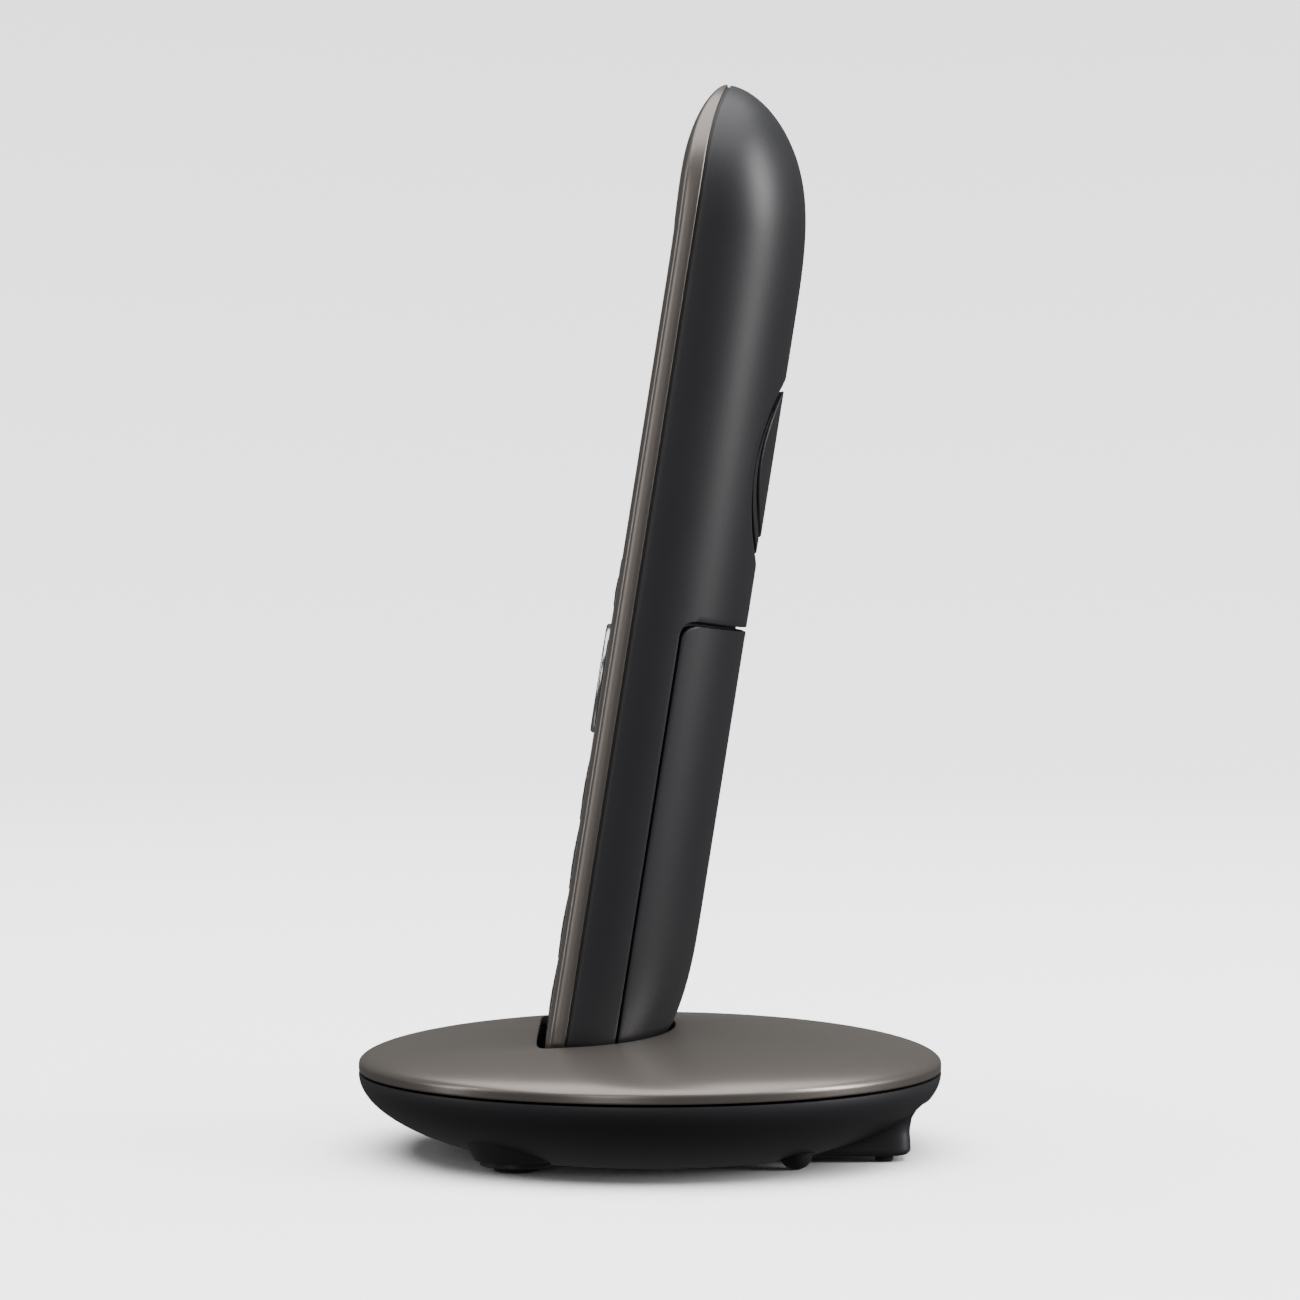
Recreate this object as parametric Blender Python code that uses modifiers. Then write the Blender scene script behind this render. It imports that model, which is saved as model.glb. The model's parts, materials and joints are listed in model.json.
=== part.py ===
"""Cordless phone: a slim handset standing in a round charging base.

Metres, +Z up, the keypad faces -Y. The origin is on the floor under the middle of the base.
The handset is modelled in its own axes and leaned back in the base by its parent empty:
x across, y from the seam plane towards the back, z along the handset from its bottom end.
"""
import math

import bmesh
import bpy
from mathutils import Matrix, Vector

# ---- Driving dimensions: base ----
BASE_RADIUS = 0.0475
BASE_WALL = 0.0018
SEAM_Z = 0.01307
SEAM_GAP = 0.0003
LIP_HEIGHT = 0.0011
CROWN_Z = 0.0205
BOWL_DEPTH = 0.0152
BOWL_FLOOR_Z = 0.00076
BLOCK_HALF_WIDTH = 0.017
BLOCK_REAR_Y = 0.0419
BLOCK_BOTTOM_Z = 0.001
BLOCK_WALL_Y = 0.0401
RECESS_HALF_WIDTH = 0.0150
RECESS_TOP_Z = 0.0090
BASE_STEPS = 48

# ---- Driving dimensions: handset ----
LEAN = math.radians(9)
SEAT = Vector((0, -0.01485, 0.00988))
LENGTH = 0.1655
HALF_WIDTH = 0.0235
BACK_DEPTH = 0.0182
FRONT_DEPTH = 0.0032
SHELL_WALL = 0.0016
COVER_WALL = 0.0012
DOOR_WALL = 0.0013
TIP_SETBACK = 0.0019
BACK_SQUARENESS = 2.2
COVER_SQUARENESS = 8.0
STATIONS = 32

# ---- Battery door ----
DOOR_SIDE_Y = 0.00768
DOOR_TOP_Z = 0.0792
DOOR_CORNER = 0.0026
DOOR_GAP = 0.0004
DOOR_TOP_GAP = 0.0007

# ---- Round cover over the loudspeaker ----
HOLE_Z = 0.1047
HOLE_RADIUS = 0.01365
HOLE_CHAMFER_RADIUS = 0.0153
HOLE_CHAMFER_DEPTH = 0.0007
DISC_Z = 0.10607
DISC_RADIUS = 0.01205
DISC_GAP = 0.0003
GASKET_DROP = 0.0003

# ---- Front window, keypad bezel and lens ----
WINDOW_WIDTH = 0.0392
WINDOW_LOW_Z = 0.0097
WINDOW_HIGH_Z = 0.1420
WINDOW_CORNER = 0.0032
BEZEL_TOP_Z = 0.0872
LENS_FACE_Y = -0.0032
LENS_BACK_Y = -0.0020

# ---- Keypad ----
BEZEL_FACE_Y = -0.0034
BEZEL_THICKNESS = 0.001
KEY_GAP = 0.0003
KEY_TOP_Y = -0.0035
KEY_BOTTOM_Y = -0.00175
NAV_RING_Y = -0.0027
NAV_RING_TOP_Y = -0.00415
NAV_CENTRE_TOP_Y = -0.0039
KEY_COLUMN_PITCH = 0.0126
KEY_ROW_PITCH = 0.01115
BOTTOM_ROW_Z = 0.0160
NAV_Z = 0.0673
NAV_RADIUS = 0.0090
SOFT_KEY_Z = 0.0818
NAV_CENTRE_RADIUS = 0.0036

# ---- Cradle pocket, in the handset's axes ----
POCKET_HALF_WIDTH = 0.0240
POCKET_FRONT_Y = 0.0047
POCKET_BACK_Y = 0.0171
POCKET_FLOOR_Z = -0.0025
POCKET_WALL = 0.0012
CONTACT_X = 0.009
CONTACT_Y = 0.0042

TINY = 1e-6


# ---------------------------------------------------------------- scene, materials and helpers

def clear_scene():
    for obj in list(bpy.data.objects):
        bpy.data.objects.remove(obj, do_unlink=True)


def make_collection(name):
    group = bpy.data.collections.new(name)
    bpy.context.scene.collection.children.link(group)
    return group


def make_material(name, colour, roughness, metallic=0.0):
    material = bpy.data.materials.new(name)
    material.use_nodes = True
    shader = material.node_tree.nodes["Principled BSDF"]
    shader.inputs["Base Color"].default_value = (*colour, 1)
    shader.inputs["Roughness"].default_value = roughness
    shader.inputs["Metallic"].default_value = metallic
    return material


def make_empty(name, location, rotation):
    empty = bpy.data.objects.new(name, None)
    empty.location = location
    empty.rotation_euler = rotation
    PARTS.objects.link(empty)
    return empty


def add_object(name, bm, material=None, parent=None, location=(0, 0, 0)):
    """Turn a bmesh into an object. Without a material it is a cutter."""
    bmesh.ops.recalc_face_normals(bm, faces=bm.faces)
    mesh = bpy.data.meshes.new(name)
    bm.to_mesh(mesh)
    bm.free()
    obj = bpy.data.objects.new(name, mesh)
    obj.location = location
    obj.parent = parent
    if material is None:
        obj.hide_render = True
        obj.display_type = "WIRE"
        CUTTERS.objects.link(obj)
    else:
        mesh.materials.append(material)
        mesh.shade_smooth()
        mesh.set_sharp_from_angle(angle=math.radians(35))
        PARTS.objects.link(obj)
    return obj


def add_boolean(obj, cutter, operation="DIFFERENCE"):
    modifier = obj.modifiers.new(operation.lower() + "_" + cutter.name, "BOOLEAN")
    modifier.operation = operation
    modifier.object = cutter
    return modifier


def add_bevel(obj, width, segments=2):
    modifier = obj.modifiers.new("rounded_edges", "BEVEL")
    modifier.width = width
    modifier.segments = segments
    modifier.limit_method = "ANGLE"
    modifier.angle_limit = math.radians(50)


def box_mesh(low, high, bm=None):
    """A box between two corners, added to bm."""
    bm = bm or bmesh.new()
    size = Vector(high) - Vector(low)
    middle = (Vector(high) + Vector(low)) / 2
    matrix = Matrix.Translation(middle) @ Matrix.Diagonal((*size, 1))
    bmesh.ops.create_cube(bm, size=1, matrix=matrix)
    return bm


def rod_mesh(radius, start, end, segments=24, bm=None, end_radius=None):
    """A cylinder or cone from start to end, added to bm."""
    bm = bm or bmesh.new()
    start, end = Vector(start), Vector(end)
    way = end - start
    turn = way.to_track_quat("Z", "Y").to_matrix().to_4x4()
    matrix = Matrix.Translation((start + end) / 2) @ turn
    bmesh.ops.create_cone(bm, cap_ends=True, segments=segments, radius1=radius,
                          radius2=radius if end_radius is None else end_radius,
                          depth=way.length, matrix=matrix)
    return bm


def add_box(name, low, high, material, parent=None, bevel=0.0, segments=2):
    """A box whose origin is its middle."""
    middle = (Vector(low) + Vector(high)) / 2
    bm = box_mesh(Vector(low) - middle, Vector(high) - middle)
    obj = add_object(name, bm, material, parent, middle)
    if bevel:
        add_bevel(obj, bevel, segments)
    return obj


def add_rod(name, radius, start, end, material, parent=None, bevel=0.0, segments=24):
    """A cylinder whose origin is its middle."""
    middle = (Vector(start) + Vector(end)) / 2
    bm = rod_mesh(radius, Vector(start) - middle, Vector(end) - middle, segments)
    obj = add_object(name, bm, material, parent, middle)
    if bevel:
        add_bevel(obj, bevel)
    return obj


def prism_mesh(outline, along, low, high):
    """A flat outline of (a, b) pairs, extruded along axis 0, 1 or 2 from low to high."""
    bm = bmesh.new()
    corners = []
    for a, b in outline:
        point = [a, b]
        point.insert(along, low)
        corners.append(bm.verts.new(point))
    face = bm.faces.new(corners)
    extruded = bmesh.ops.extrude_face_region(bm, geom=[face])["geom"]
    moved = [item for item in extruded if isinstance(item, bmesh.types.BMVert)]
    shift = Vector((0, 0, 0))
    shift[along] = high - low
    bmesh.ops.translate(bm, verts=moved, vec=shift)
    return bm


def arc(centre, radius, start, end, count):
    """Points on an arc, angles in degrees from the first axis towards the second."""
    angles = [math.radians(start + (end - start) * i / count) for i in range(count + 1)]
    return [(centre[0] + radius * math.cos(a), centre[1] + radius * math.sin(a)) for a in angles]


def rounded_rectangle(width, height, radius, centre=(0, 0), count=4):
    """The outline of a rectangle with round corners."""
    points = []
    for quarter, (sx, sy) in enumerate(((1, 1), (-1, 1), (-1, -1), (1, -1))):
        corner = (centre[0] + sx * (width / 2 - radius), centre[1] + sy * (height / 2 - radius))
        points += arc(corner, radius, 90 * quarter, 90 * quarter + 90, count)
    return points


def turned_mesh(profile, steps=BASE_STEPS):
    """Spin a closed (radius, height) profile that starts and ends on the Z axis, as a mesh."""
    mesh = bpy.data.meshes.new("profile")
    points = [(r, 0, z) for r, z in profile]
    edges = [(i, i + 1) for i in range(len(points) - 1)]
    mesh.from_pydata(points, edges, [])
    obj = bpy.data.objects.new("profile", mesh)
    CUTTERS.objects.link(obj)
    screw = obj.modifiers.new("turn", "SCREW")
    screw.steps = screw.render_steps = steps
    screw.use_merge_vertices = True
    screw.merge_threshold = TINY
    depsgraph = bpy.context.evaluated_depsgraph_get()
    bm = bmesh.new()
    bm.from_mesh(bpy.data.meshes.new_from_object(obj.evaluated_get(depsgraph)))
    bpy.data.objects.remove(obj)
    bmesh.ops.remove_doubles(bm, verts=bm.verts, dist=TINY)
    return bm


# ---------------------------------------------------------------- base

def dome_height(radius, edge_radius, edge_z, crown_z):
    """The top cover's height at a radius: an ellipse from the crown down to the edge."""
    return edge_z + (crown_z - edge_z) * math.sqrt(max(0, 1 - (radius / edge_radius) ** 2))


def dome_profile(edge_radius, edge_z, crown_z, count=12):
    """Points from the crown out to the edge, closer together where the dome turns down."""
    radii = [edge_radius * math.sin(math.pi / 2 * i / count) for i in range(count + 1)]
    return [(r, dome_height(r, edge_radius, edge_z, crown_z)) for r in radii]


def bowl_profile(radius, rim_z, depth, floor_z, count=12):
    """Points from the rim down a half ellipse to the flat floor, and in to the axis."""
    flat = math.asin((rim_z - floor_z) / depth)
    angles = [flat * i / count for i in range(count + 1)]
    points = [(radius * math.cos(a), rim_z - depth * math.sin(a)) for a in angles]
    return points + [(0, floor_z)]


def pocket_outline(extra=0.0, count=28):
    """The pocket seen along the handset: wide and square at the front, rounded at the back."""
    points = []
    for i in range(count):
        angle = 2 * math.pi * i / count
        across, deep = math.cos(angle), math.sin(angle)
        squareness = BACK_SQUARENESS if deep > 0 else COVER_SQUARENESS
        depth = POCKET_BACK_Y if deep > 0 else POCKET_FRONT_Y
        x = (POCKET_HALF_WIDTH + extra) * math.copysign(abs(across) ** (2 / squareness), across)
        y = (depth + extra) * math.copysign(abs(deep) ** (2 / squareness), deep)
        points.append((x, y))
    return points


def make_base_top_cover(dock):
    lip_top = SEAM_Z + SEAM_GAP / 2 + LIP_HEIGHT
    rim_z = SEAM_Z + SEAM_GAP / 2
    outer = dome_profile(BASE_RADIUS, lip_top, CROWN_Z)
    inner = dome_profile(BASE_RADIUS - BASE_WALL, lip_top - BASE_WALL / 2, CROWN_Z - BASE_WALL)
    profile = outer + [(BASE_RADIUS, rim_z), (BASE_RADIUS - BASE_WALL, rim_z)] + inner[::-1]
    cover = add_object("base_top_cover", turned_mesh(profile), BRONZE)
    mouth = add_object("pocket_mouth_cutter", prism_mesh(pocket_outline(), 2, -0.004, 0.04), None, dock)
    add_boolean(cover, mouth)


def make_cradle_pocket(dock):
    """The black well under the top cover, with a rest rib and two holes for the contacts."""
    bottom = POCKET_FLOOR_Z - POCKET_WALL
    pocket = add_object("cradle_pocket", prism_mesh(pocket_outline(POCKET_WALL), 2, bottom, 0.03),
                        BLACK_ABS, dock)
    hollow = add_object("pocket_hollow_cutter", prism_mesh(pocket_outline(), 2, POCKET_FLOOR_Z, 0.035),
                        None, dock)
    add_boolean(pocket, hollow)
    rib_low = (-0.006, -0.0015, POCKET_FLOOR_Z - POCKET_WALL / 2)
    rib_high = (0.006, 0.0015, -0.0003)
    rib = add_object("rest_rib", box_mesh(rib_low, rib_high), None, dock)
    add_boolean(pocket, rib, "UNION")
    under_z = CROWN_Z - BASE_WALL - SEAM_GAP
    edge_z = SEAM_Z + LIP_HEIGHT - BASE_WALL / 2 - SEAM_GAP
    lens = [(0, under_z)] + dome_profile(BASE_RADIUS - BASE_WALL - SEAM_GAP, edge_z, under_z)[1:]
    under_cover = add_object("under_cover_guide", turned_mesh(lens + [(lens[-1][0], 0), (0, 0)]))
    add_boolean(pocket, under_cover, "INTERSECT")
    holes = bmesh.new()
    for side in (-1, 1):
        middle = Vector((side * CONTACT_X, CONTACT_Y, POCKET_FLOOR_Z))
        reach = Vector((0.0013, 0.0013, 0.002))
        box_mesh(middle - reach, middle + reach, holes)
    add_boolean(pocket, add_object("contact_hole_cutter", holes, None, dock))


def make_charge_contacts(dock):
    for side, name in ((-1, "charge_contact_left"), (1, "charge_contact_right")):
        low = (side * CONTACT_X - 0.0008, CONTACT_Y - 0.0008, -0.0045)
        high = (side * CONTACT_X + 0.0008, CONTACT_Y + 0.0008, 0.0004)
        add_box(name, low, high, GOLD, dock, bevel=0.0003)


def block_outline():
    """Side view of the rear block, (y, z): square foot, then a hollow flare up to the rim."""
    corner = arc((BLOCK_REAR_Y - 0.001, BLOCK_BOTTOM_Z + 0.001), 0.001, -90, 0, 4)
    flare = [(BLOCK_REAR_Y + 0.0002, 0.0052), (0.0426, 0.0070), (0.0433, 0.0085), (0.0442, 0.0100)]
    ledge = [(0.0452, 0.0113), (0.0457, SEAM_Z - SEAM_GAP / 2)]
    return [(0.024, SEAM_Z - SEAM_GAP / 2), (0.024, BLOCK_BOTTOM_Z)] + corner + flare + ledge


FRONT_FEET = ((-0.025, -0.0212), (0.025, -0.0212))
DOME_FEET = ((-0.0237, 0.0231), (0.0237, 0.0231))
BLOCK_FEET = ((-0.0143, 0.0375), (0.0143, 0.0375))
BASE_SCREWS = ((0.0, -0.0265), (-0.0225, 0.002), (0.0225, 0.002))
LINE_JACK = ((-0.0142, 0.0288, 0.0025), (-0.0018, 0.0414, 0.0099))
POWER_JACK = ((0.0022, 0.0288, 0.0025), (0.0134, 0.0414, 0.0099))


def foot_boss_mesh(x, y, bm):
    """A wide cone ending in a thinner flange."""
    rod_mesh(0.0090, (x, y, 0.0062), (x, y, 0.00175), 32, bm, end_radius=0.0065)
    return bm


def make_base_lower_shell():
    rim_z = SEAM_Z - SEAM_GAP / 2
    outside = [(0, rim_z)] + bowl_profile(BASE_RADIUS, rim_z, BOWL_DEPTH, BOWL_FLOOR_Z)
    shell = add_object("base_lower_shell", turned_mesh(outside), CHARCOAL_BASE)

    block = add_object("rear_block", prism_mesh(block_outline(), 0, -BLOCK_HALF_WIDTH, BLOCK_HALF_WIDTH))
    edge = add_object("rim_guide", rod_mesh(BASE_RADIUS - 0.0006, (0, 0, 0), (0, 0, 0.02), BASE_STEPS))
    add_boolean(block, edge, "INTERSECT")
    add_boolean(shell, block, "UNION")
    recess = box_mesh((-RECESS_HALF_WIDTH, BLOCK_REAR_Y, -0.001), (RECESS_HALF_WIDTH, 0.05, RECESS_TOP_Z))
    add_boolean(shell, add_object("socket_recess_cutter", recess))

    bosses, flanges = bmesh.new(), bmesh.new()
    for x, y in FRONT_FEET:
        foot_boss_mesh(x, y, bosses)
        rod_mesh(0.0057, (x, y, 0.00095), (x, y, 0.0030), 32, flanges)
    add_boolean(shell, add_object("foot_bosses", bosses), "UNION")
    add_boolean(shell, add_object("foot_flanges", flanges), "UNION")

    inside = bowl_profile(BASE_RADIUS - BASE_WALL, rim_z, BOWL_DEPTH - BASE_WALL, BOWL_FLOOR_Z + BASE_WALL)
    hollow = [(0, 0.02), (BASE_RADIUS - BASE_WALL, 0.02)] + inside
    add_boolean(shell, add_object("bowl_hollow_cutter", turned_mesh(hollow)))
    block_hollow = box_mesh((-0.0152, 0.0275, 0.0022), (0.0152, BLOCK_WALL_Y, 0.02))
    add_boolean(shell, add_object("block_hollow_cutter", block_hollow))

    holes = bmesh.new()
    for x, y in FRONT_FEET:
        rod_mesh(0.00385, (x, y, -0.001), (x, y, 0.0017), 24, holes)
    for x, y in DOME_FEET:
        rod_mesh(0.00295, (x, y, -0.001), (x, y, 0.007), 20, holes)
    for x, y in BLOCK_FEET:
        rod_mesh(0.00175, (x, y, -0.001), (x, y, 0.004), 16, holes)
    for x, y in BASE_SCREWS:
        rod_mesh(0.0026, (x, y, -0.001), (x, y, 0.004), 16, holes)
    for low, high in (LINE_JACK, POWER_JACK):
        clear = Vector((0.0003, 0, 0.0003))
        mouth = Vector((high[0], BLOCK_REAR_Y + 0.0005, high[2])) + clear
        box_mesh(Vector((low[0], BLOCK_WALL_Y - 0.0005, low[2])) - clear, mouth, holes)
    add_boolean(shell, add_object("lower_shell_holes_cutter", holes))


def make_feet():
    for side, (x, y) in zip(("left", "right"), FRONT_FEET):
        add_rod("front_foot_" + side, 0.00355, (x, y, 0), (x, y, 0.0014), RUBBER, bevel=0.0003)
    for side, (x, y) in zip(("left", "right"), DOME_FEET):
        profile = [(0, 0.0055), (0.00265, 0.0055)]
        profile += [(0.00265 * math.cos(a), 0.0024 - 0.0024 * math.sin(a))
                    for a in (math.radians(15 * i) for i in range(6))]
        profile += [(0.0006, 0), (0, 0)]
        add_object("dome_foot_" + side, turned_mesh(profile, 20), RUBBER, None, (x, y, 0))
    for side, (x, y) in zip(("left", "right"), BLOCK_FEET):
        add_rod("block_foot_" + side, 0.00145, (x, y, 0), (x, y, 0.0021), RUBBER, bevel=0.0002,
                segments=16)


def make_base_screws():
    for number, (x, y) in enumerate(BASE_SCREWS, 1):
        profile = [(0, 0.0063), (0.0013, 0.0063), (0.0013, 0.0028), (0.0022, 0.0028), (0.0022, 0.0016),
                   (0.0010, 0.0016), (0.0010, 0.0022), (0, 0.0022)]
        add_object(f"base_screw_{number}", turned_mesh(profile, 16), STEEL, None, (x, y, 0))


def make_base_insides():
    add_box("base_circuit_board", (-0.022, 0.0075, 0.0076), (0.022, 0.028, 0.0090), CIRCUIT_BOARD)
    add_box("ballast_plate", (-0.019, -0.035, 0.0069), (0.019, -0.0222, 0.0095), STEEL, bevel=0.0004,
            segments=1)
    (low_x, low_y, low_z), (high_x, high_y, high_z) = LINE_JACK
    jack = add_box("line_jack", *LINE_JACK, BLACK_ABS)
    socket = box_mesh((low_x + 0.0014, low_y + 0.0022, low_z + 0.0008),
                      (high_x - 0.0014, high_y + 0.002, high_z - 0.0008))
    add_boolean(jack, add_object("line_socket_cutter", socket))
    (low_x, low_y, low_z), (high_x, high_y, high_z) = POWER_JACK
    middle_x, middle_z = (low_x + high_x) / 2, (low_z + high_z) / 2
    jack = add_box("power_jack", *POWER_JACK, BLACK_ABS)
    socket = rod_mesh(0.0028, (middle_x, low_y + 0.003, middle_z), (middle_x, high_y + 0.002, middle_z))
    add_boolean(jack, add_object("power_socket_cutter", socket))
    add_rod("power_jack_pin", 0.001, (middle_x, low_y + 0.0033, middle_z),
            (middle_x, high_y - 0.001, middle_z), STEEL, segments=12)


# ---------------------------------------------------------------- handset surfaces

def taper(z, start, end, power, root):
    """1 up to start, then falling on a superellipse to 0 at end. It works towards either end."""
    t = min(1, max(0, (z - start) / (end - start)))
    return max(0, 1 - t ** power) ** (1 / root)


def half_width(z, inset=0.0):
    top = taper(z, LENGTH - 0.024, LENGTH - inset, 2.4, 2.2)
    bottom = taper(z, 0.014, inset, 2.6, 2.6)
    return (HALF_WIDTH - inset) * top * bottom


def seam_y(z):
    """The seam is flat, but bends back over the last 14 mm to the tip."""
    return TIP_SETBACK * max(0, (z - LENGTH) / 0.014 + 1) ** 2.2


def back_depth(z, inset=0.0):
    """From the seam to the back."""
    top = taper(z, 0.126, LENGTH - inset, 3.7, 1.7)
    bottom = taper(z, 0.034, inset, 3.2, 2.0)
    return (BACK_DEPTH - inset - seam_y(z)) * top * bottom


def front_depth(z, inset=0.0):
    """From the seam to the front, a little fuller over the ear piece."""
    top = taper(z, 0.142, LENGTH - inset, 4.0, 1.7)
    bottom = taper(z, 0.012, inset, 2.4, 2.0)
    fullness = 0.0003 * math.exp(-((z - 0.150) / 0.008) ** 2)
    return (FRONT_DEPTH + fullness - inset) * top * bottom


def tray_mesh(depth, squareness, side, wall, gap, arc_steps, stations=STATIONS):
    """A hollow half of the handset. Each station is a half superellipse and its inner copy.

    side is 1 for the back half and -1 for the front half. Both ends close in a point.
    """
    bm = bmesh.new()
    loops = []
    for i in range(stations + 1):
        share = (1 - math.cos(math.pi * i / stations)) / 2
        loop = []
        for inset in (0.0, wall):
            z = inset + (LENGTH - 2 * inset) * share
            arc_points = []
            for j in range(arc_steps + 1):
                angle = math.pi * j / arc_steps
                across = math.cos(angle)
                x = half_width(z, inset) * math.copysign(abs(across) ** (2 / squareness), across)
                deep = depth(z, inset) * abs(math.sin(angle)) ** (2 / squareness)
                arc_points.append((x, seam_y(z) + side * (gap / 2 + deep), z))
            loop += arc_points if inset == 0 else arc_points[::-1]
        loops.append([bm.verts.new(point) for point in loop])
    count = len(loops[0])
    for lower, upper in zip(loops, loops[1:]):
        for j in range(count):
            k = (j + 1) % count
            bm.faces.new((lower[j], lower[k], upper[k], upper[j]))
    bmesh.ops.remove_doubles(bm, verts=bm.verts, dist=TINY)
    bmesh.ops.dissolve_degenerate(bm, edges=bm.edges, dist=TINY)
    return bm


def door_outline(gap, top_gap):
    """Side view of the battery door, (y, z), with its front top corner round."""
    side, top = DOOR_SIDE_Y + gap, DOOR_TOP_Z - top_gap
    corner = arc((side + DOOR_CORNER, top - DOOR_CORNER), DOOR_CORNER, 180, 90, 5)
    return [(side, -0.004)] + corner + [(0.03, top), (0.03, -0.004)]


def make_rear_shell(handset):
    shell = add_object("rear_shell", tray_mesh(back_depth, BACK_SQUARENESS, 1, SHELL_WALL, SEAM_GAP, 20),
                       CHARCOAL_HANDSET, handset)
    opening = add_object("door_opening_cutter", prism_mesh(door_outline(0, 0), 0, -0.03, 0.03), None, handset)
    add_boolean(shell, opening)
    hole = rod_mesh(HOLE_RADIUS, (0, 0.010, HOLE_Z), (0, 0.025, HOLE_Z), 32)
    add_boolean(shell, add_object("speaker_hole_cutter", hole, None, handset))
    chamfer = rod_mesh(HOLE_RADIUS, (0, BACK_DEPTH - HOLE_CHAMFER_DEPTH, HOLE_Z),
                       (0, BACK_DEPTH, HOLE_Z), 32, end_radius=HOLE_CHAMFER_RADIUS)
    add_boolean(shell, add_object("speaker_chamfer_cutter", chamfer, None, handset))
    holes = bmesh.new()
    for side in (-1, 1):
        middle = Vector((side * CONTACT_X, CONTACT_Y, 0.001))
        reach = Vector((0.0021, 0.0019, 0.004))
        box_mesh(middle - reach, middle + reach, holes)
    add_boolean(shell, add_object("pad_hole_cutter", holes, None, handset))


def make_battery_door(handset):
    door = add_object("battery_door", tray_mesh(back_depth, BACK_SQUARENESS, 1, DOOR_WALL, SEAM_GAP, 20),
                      CHARCOAL_HANDSET, handset)
    keep = add_object("door_guide", prism_mesh(door_outline(DOOR_GAP, DOOR_TOP_GAP), 0, -0.03, 0.03), None, handset)
    add_boolean(door, keep, "INTERSECT")


def make_speaker_cover(handset):
    cover = add_object("speaker_cover", tray_mesh(back_depth, BACK_SQUARENESS, 1, DOOR_WALL, SEAM_GAP, 20),
                       CHARCOAL_HANDSET, handset)
    keep = rod_mesh(DISC_RADIUS, (0, 0.010, DISC_Z), (0, 0.025, DISC_Z), 32)
    add_boolean(cover, add_object("disc_guide", keep, None, handset), "INTERSECT")


def gasket_depth(z, inset=0.0):
    return back_depth(z, inset + GASKET_DROP)


def make_speaker_gasket(handset):
    """A black crescent that fills the hole around the round cover, a little below the surface."""
    gasket = add_object("speaker_gasket", tray_mesh(gasket_depth, BACK_SQUARENESS, 1, DOOR_WALL, SEAM_GAP, 20),
                        BLACK_ABS, handset)
    keep = rod_mesh(HOLE_RADIUS - DISC_GAP, (0, 0.010, HOLE_Z), (0, 0.025, HOLE_Z), 32)
    add_boolean(gasket, add_object("gasket_guide", keep, None, handset), "INTERSECT")
    hole = rod_mesh(DISC_RADIUS + DISC_GAP, (0, 0.009, DISC_Z), (0, 0.026, DISC_Z), 32)
    add_boolean(gasket, add_object("gasket_hole_cutter", hole, None, handset))


def window_mesh(low_z, high_z, low_y, high_y, shrink=0.0):
    """A plate with rounded corners that fills part of the front window."""
    outline = rounded_rectangle(WINDOW_WIDTH - 2 * shrink, high_z - low_z - 2 * shrink, WINDOW_CORNER,
                                (0, (low_z + high_z) / 2))
    return prism_mesh(outline, 1, low_y, high_y)


def make_front_cover(handset):
    cover = add_object("front_cover", tray_mesh(front_depth, COVER_SQUARENESS, -1, COVER_WALL, SEAM_GAP, 14),
                       BRONZE, handset)
    window = window_mesh(WINDOW_LOW_Z, WINDOW_HIGH_Z, -0.006, 0.002)
    add_boolean(cover, add_object("window_cutter", window, None, handset))
    slot = prism_mesh(rounded_rectangle(0.011, 0.0016, 0.0007, (0, 0.1515), 3), 1, -0.006, 0.002)
    add_boolean(cover, add_object("ear_slot_cutter", slot, None, handset))


def make_handset_front(handset):
    lens = window_mesh(BEZEL_TOP_Z - KEY_GAP, WINDOW_HIGH_Z, LENS_FACE_Y, LENS_BACK_Y, KEY_GAP)
    add_bevel(add_object("display_lens", lens, LENS, handset), 0.0002, 1)
    bezel_back = BEZEL_FACE_Y + BEZEL_THICKNESS
    bezel_mesh = window_mesh(WINDOW_LOW_Z, BEZEL_TOP_Z + KEY_GAP, BEZEL_FACE_Y, bezel_back, KEY_GAP)
    bezel = add_object("keypad_bezel", bezel_mesh, GLOSS_BLACK, handset)
    holes = bmesh.new()
    for _, x, z, width, height in KEYS:
        size = Vector((width / 2 + KEY_GAP, 0.002, height / 2 + KEY_GAP))
        middle = Vector((x, BEZEL_FACE_Y, z))
        box_mesh(middle - size, middle + size, holes)
    rod_mesh(NAV_RADIUS + KEY_GAP, (0, -0.005, NAV_Z), (0, 0, NAV_Z), 32, holes)
    add_boolean(bezel, add_object("key_hole_cutter", holes, None, handset))


# ---------------------------------------------------------------- keys

def list_keys():
    """Name, x, z, width and height of each rectangular key."""
    rows = (("star", "0", "hash"), ("7", "8", "9"), ("4", "5", "6"), ("1", "2", "3"))
    keys = []
    for row, names in enumerate(rows):
        for column, name in enumerate(names):
            x = (column - 1) * KEY_COLUMN_PITCH
            keys.append(("key_" + name, x, BOTTOM_ROW_Z + row * KEY_ROW_PITCH, 0.0116, 0.0092))
    keys += [("key_talk", -0.0141, NAV_Z, 0.0078, 0.0140), ("key_end", 0.0141, NAV_Z, 0.0078, 0.0140)]
    keys += [("soft_key_left", -0.0097, SOFT_KEY_Z, 0.0150, 0.0050),
             ("soft_key_right", 0.0097, SOFT_KEY_Z, 0.0150, 0.0050)]
    return keys


KEYS = list_keys()


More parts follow.
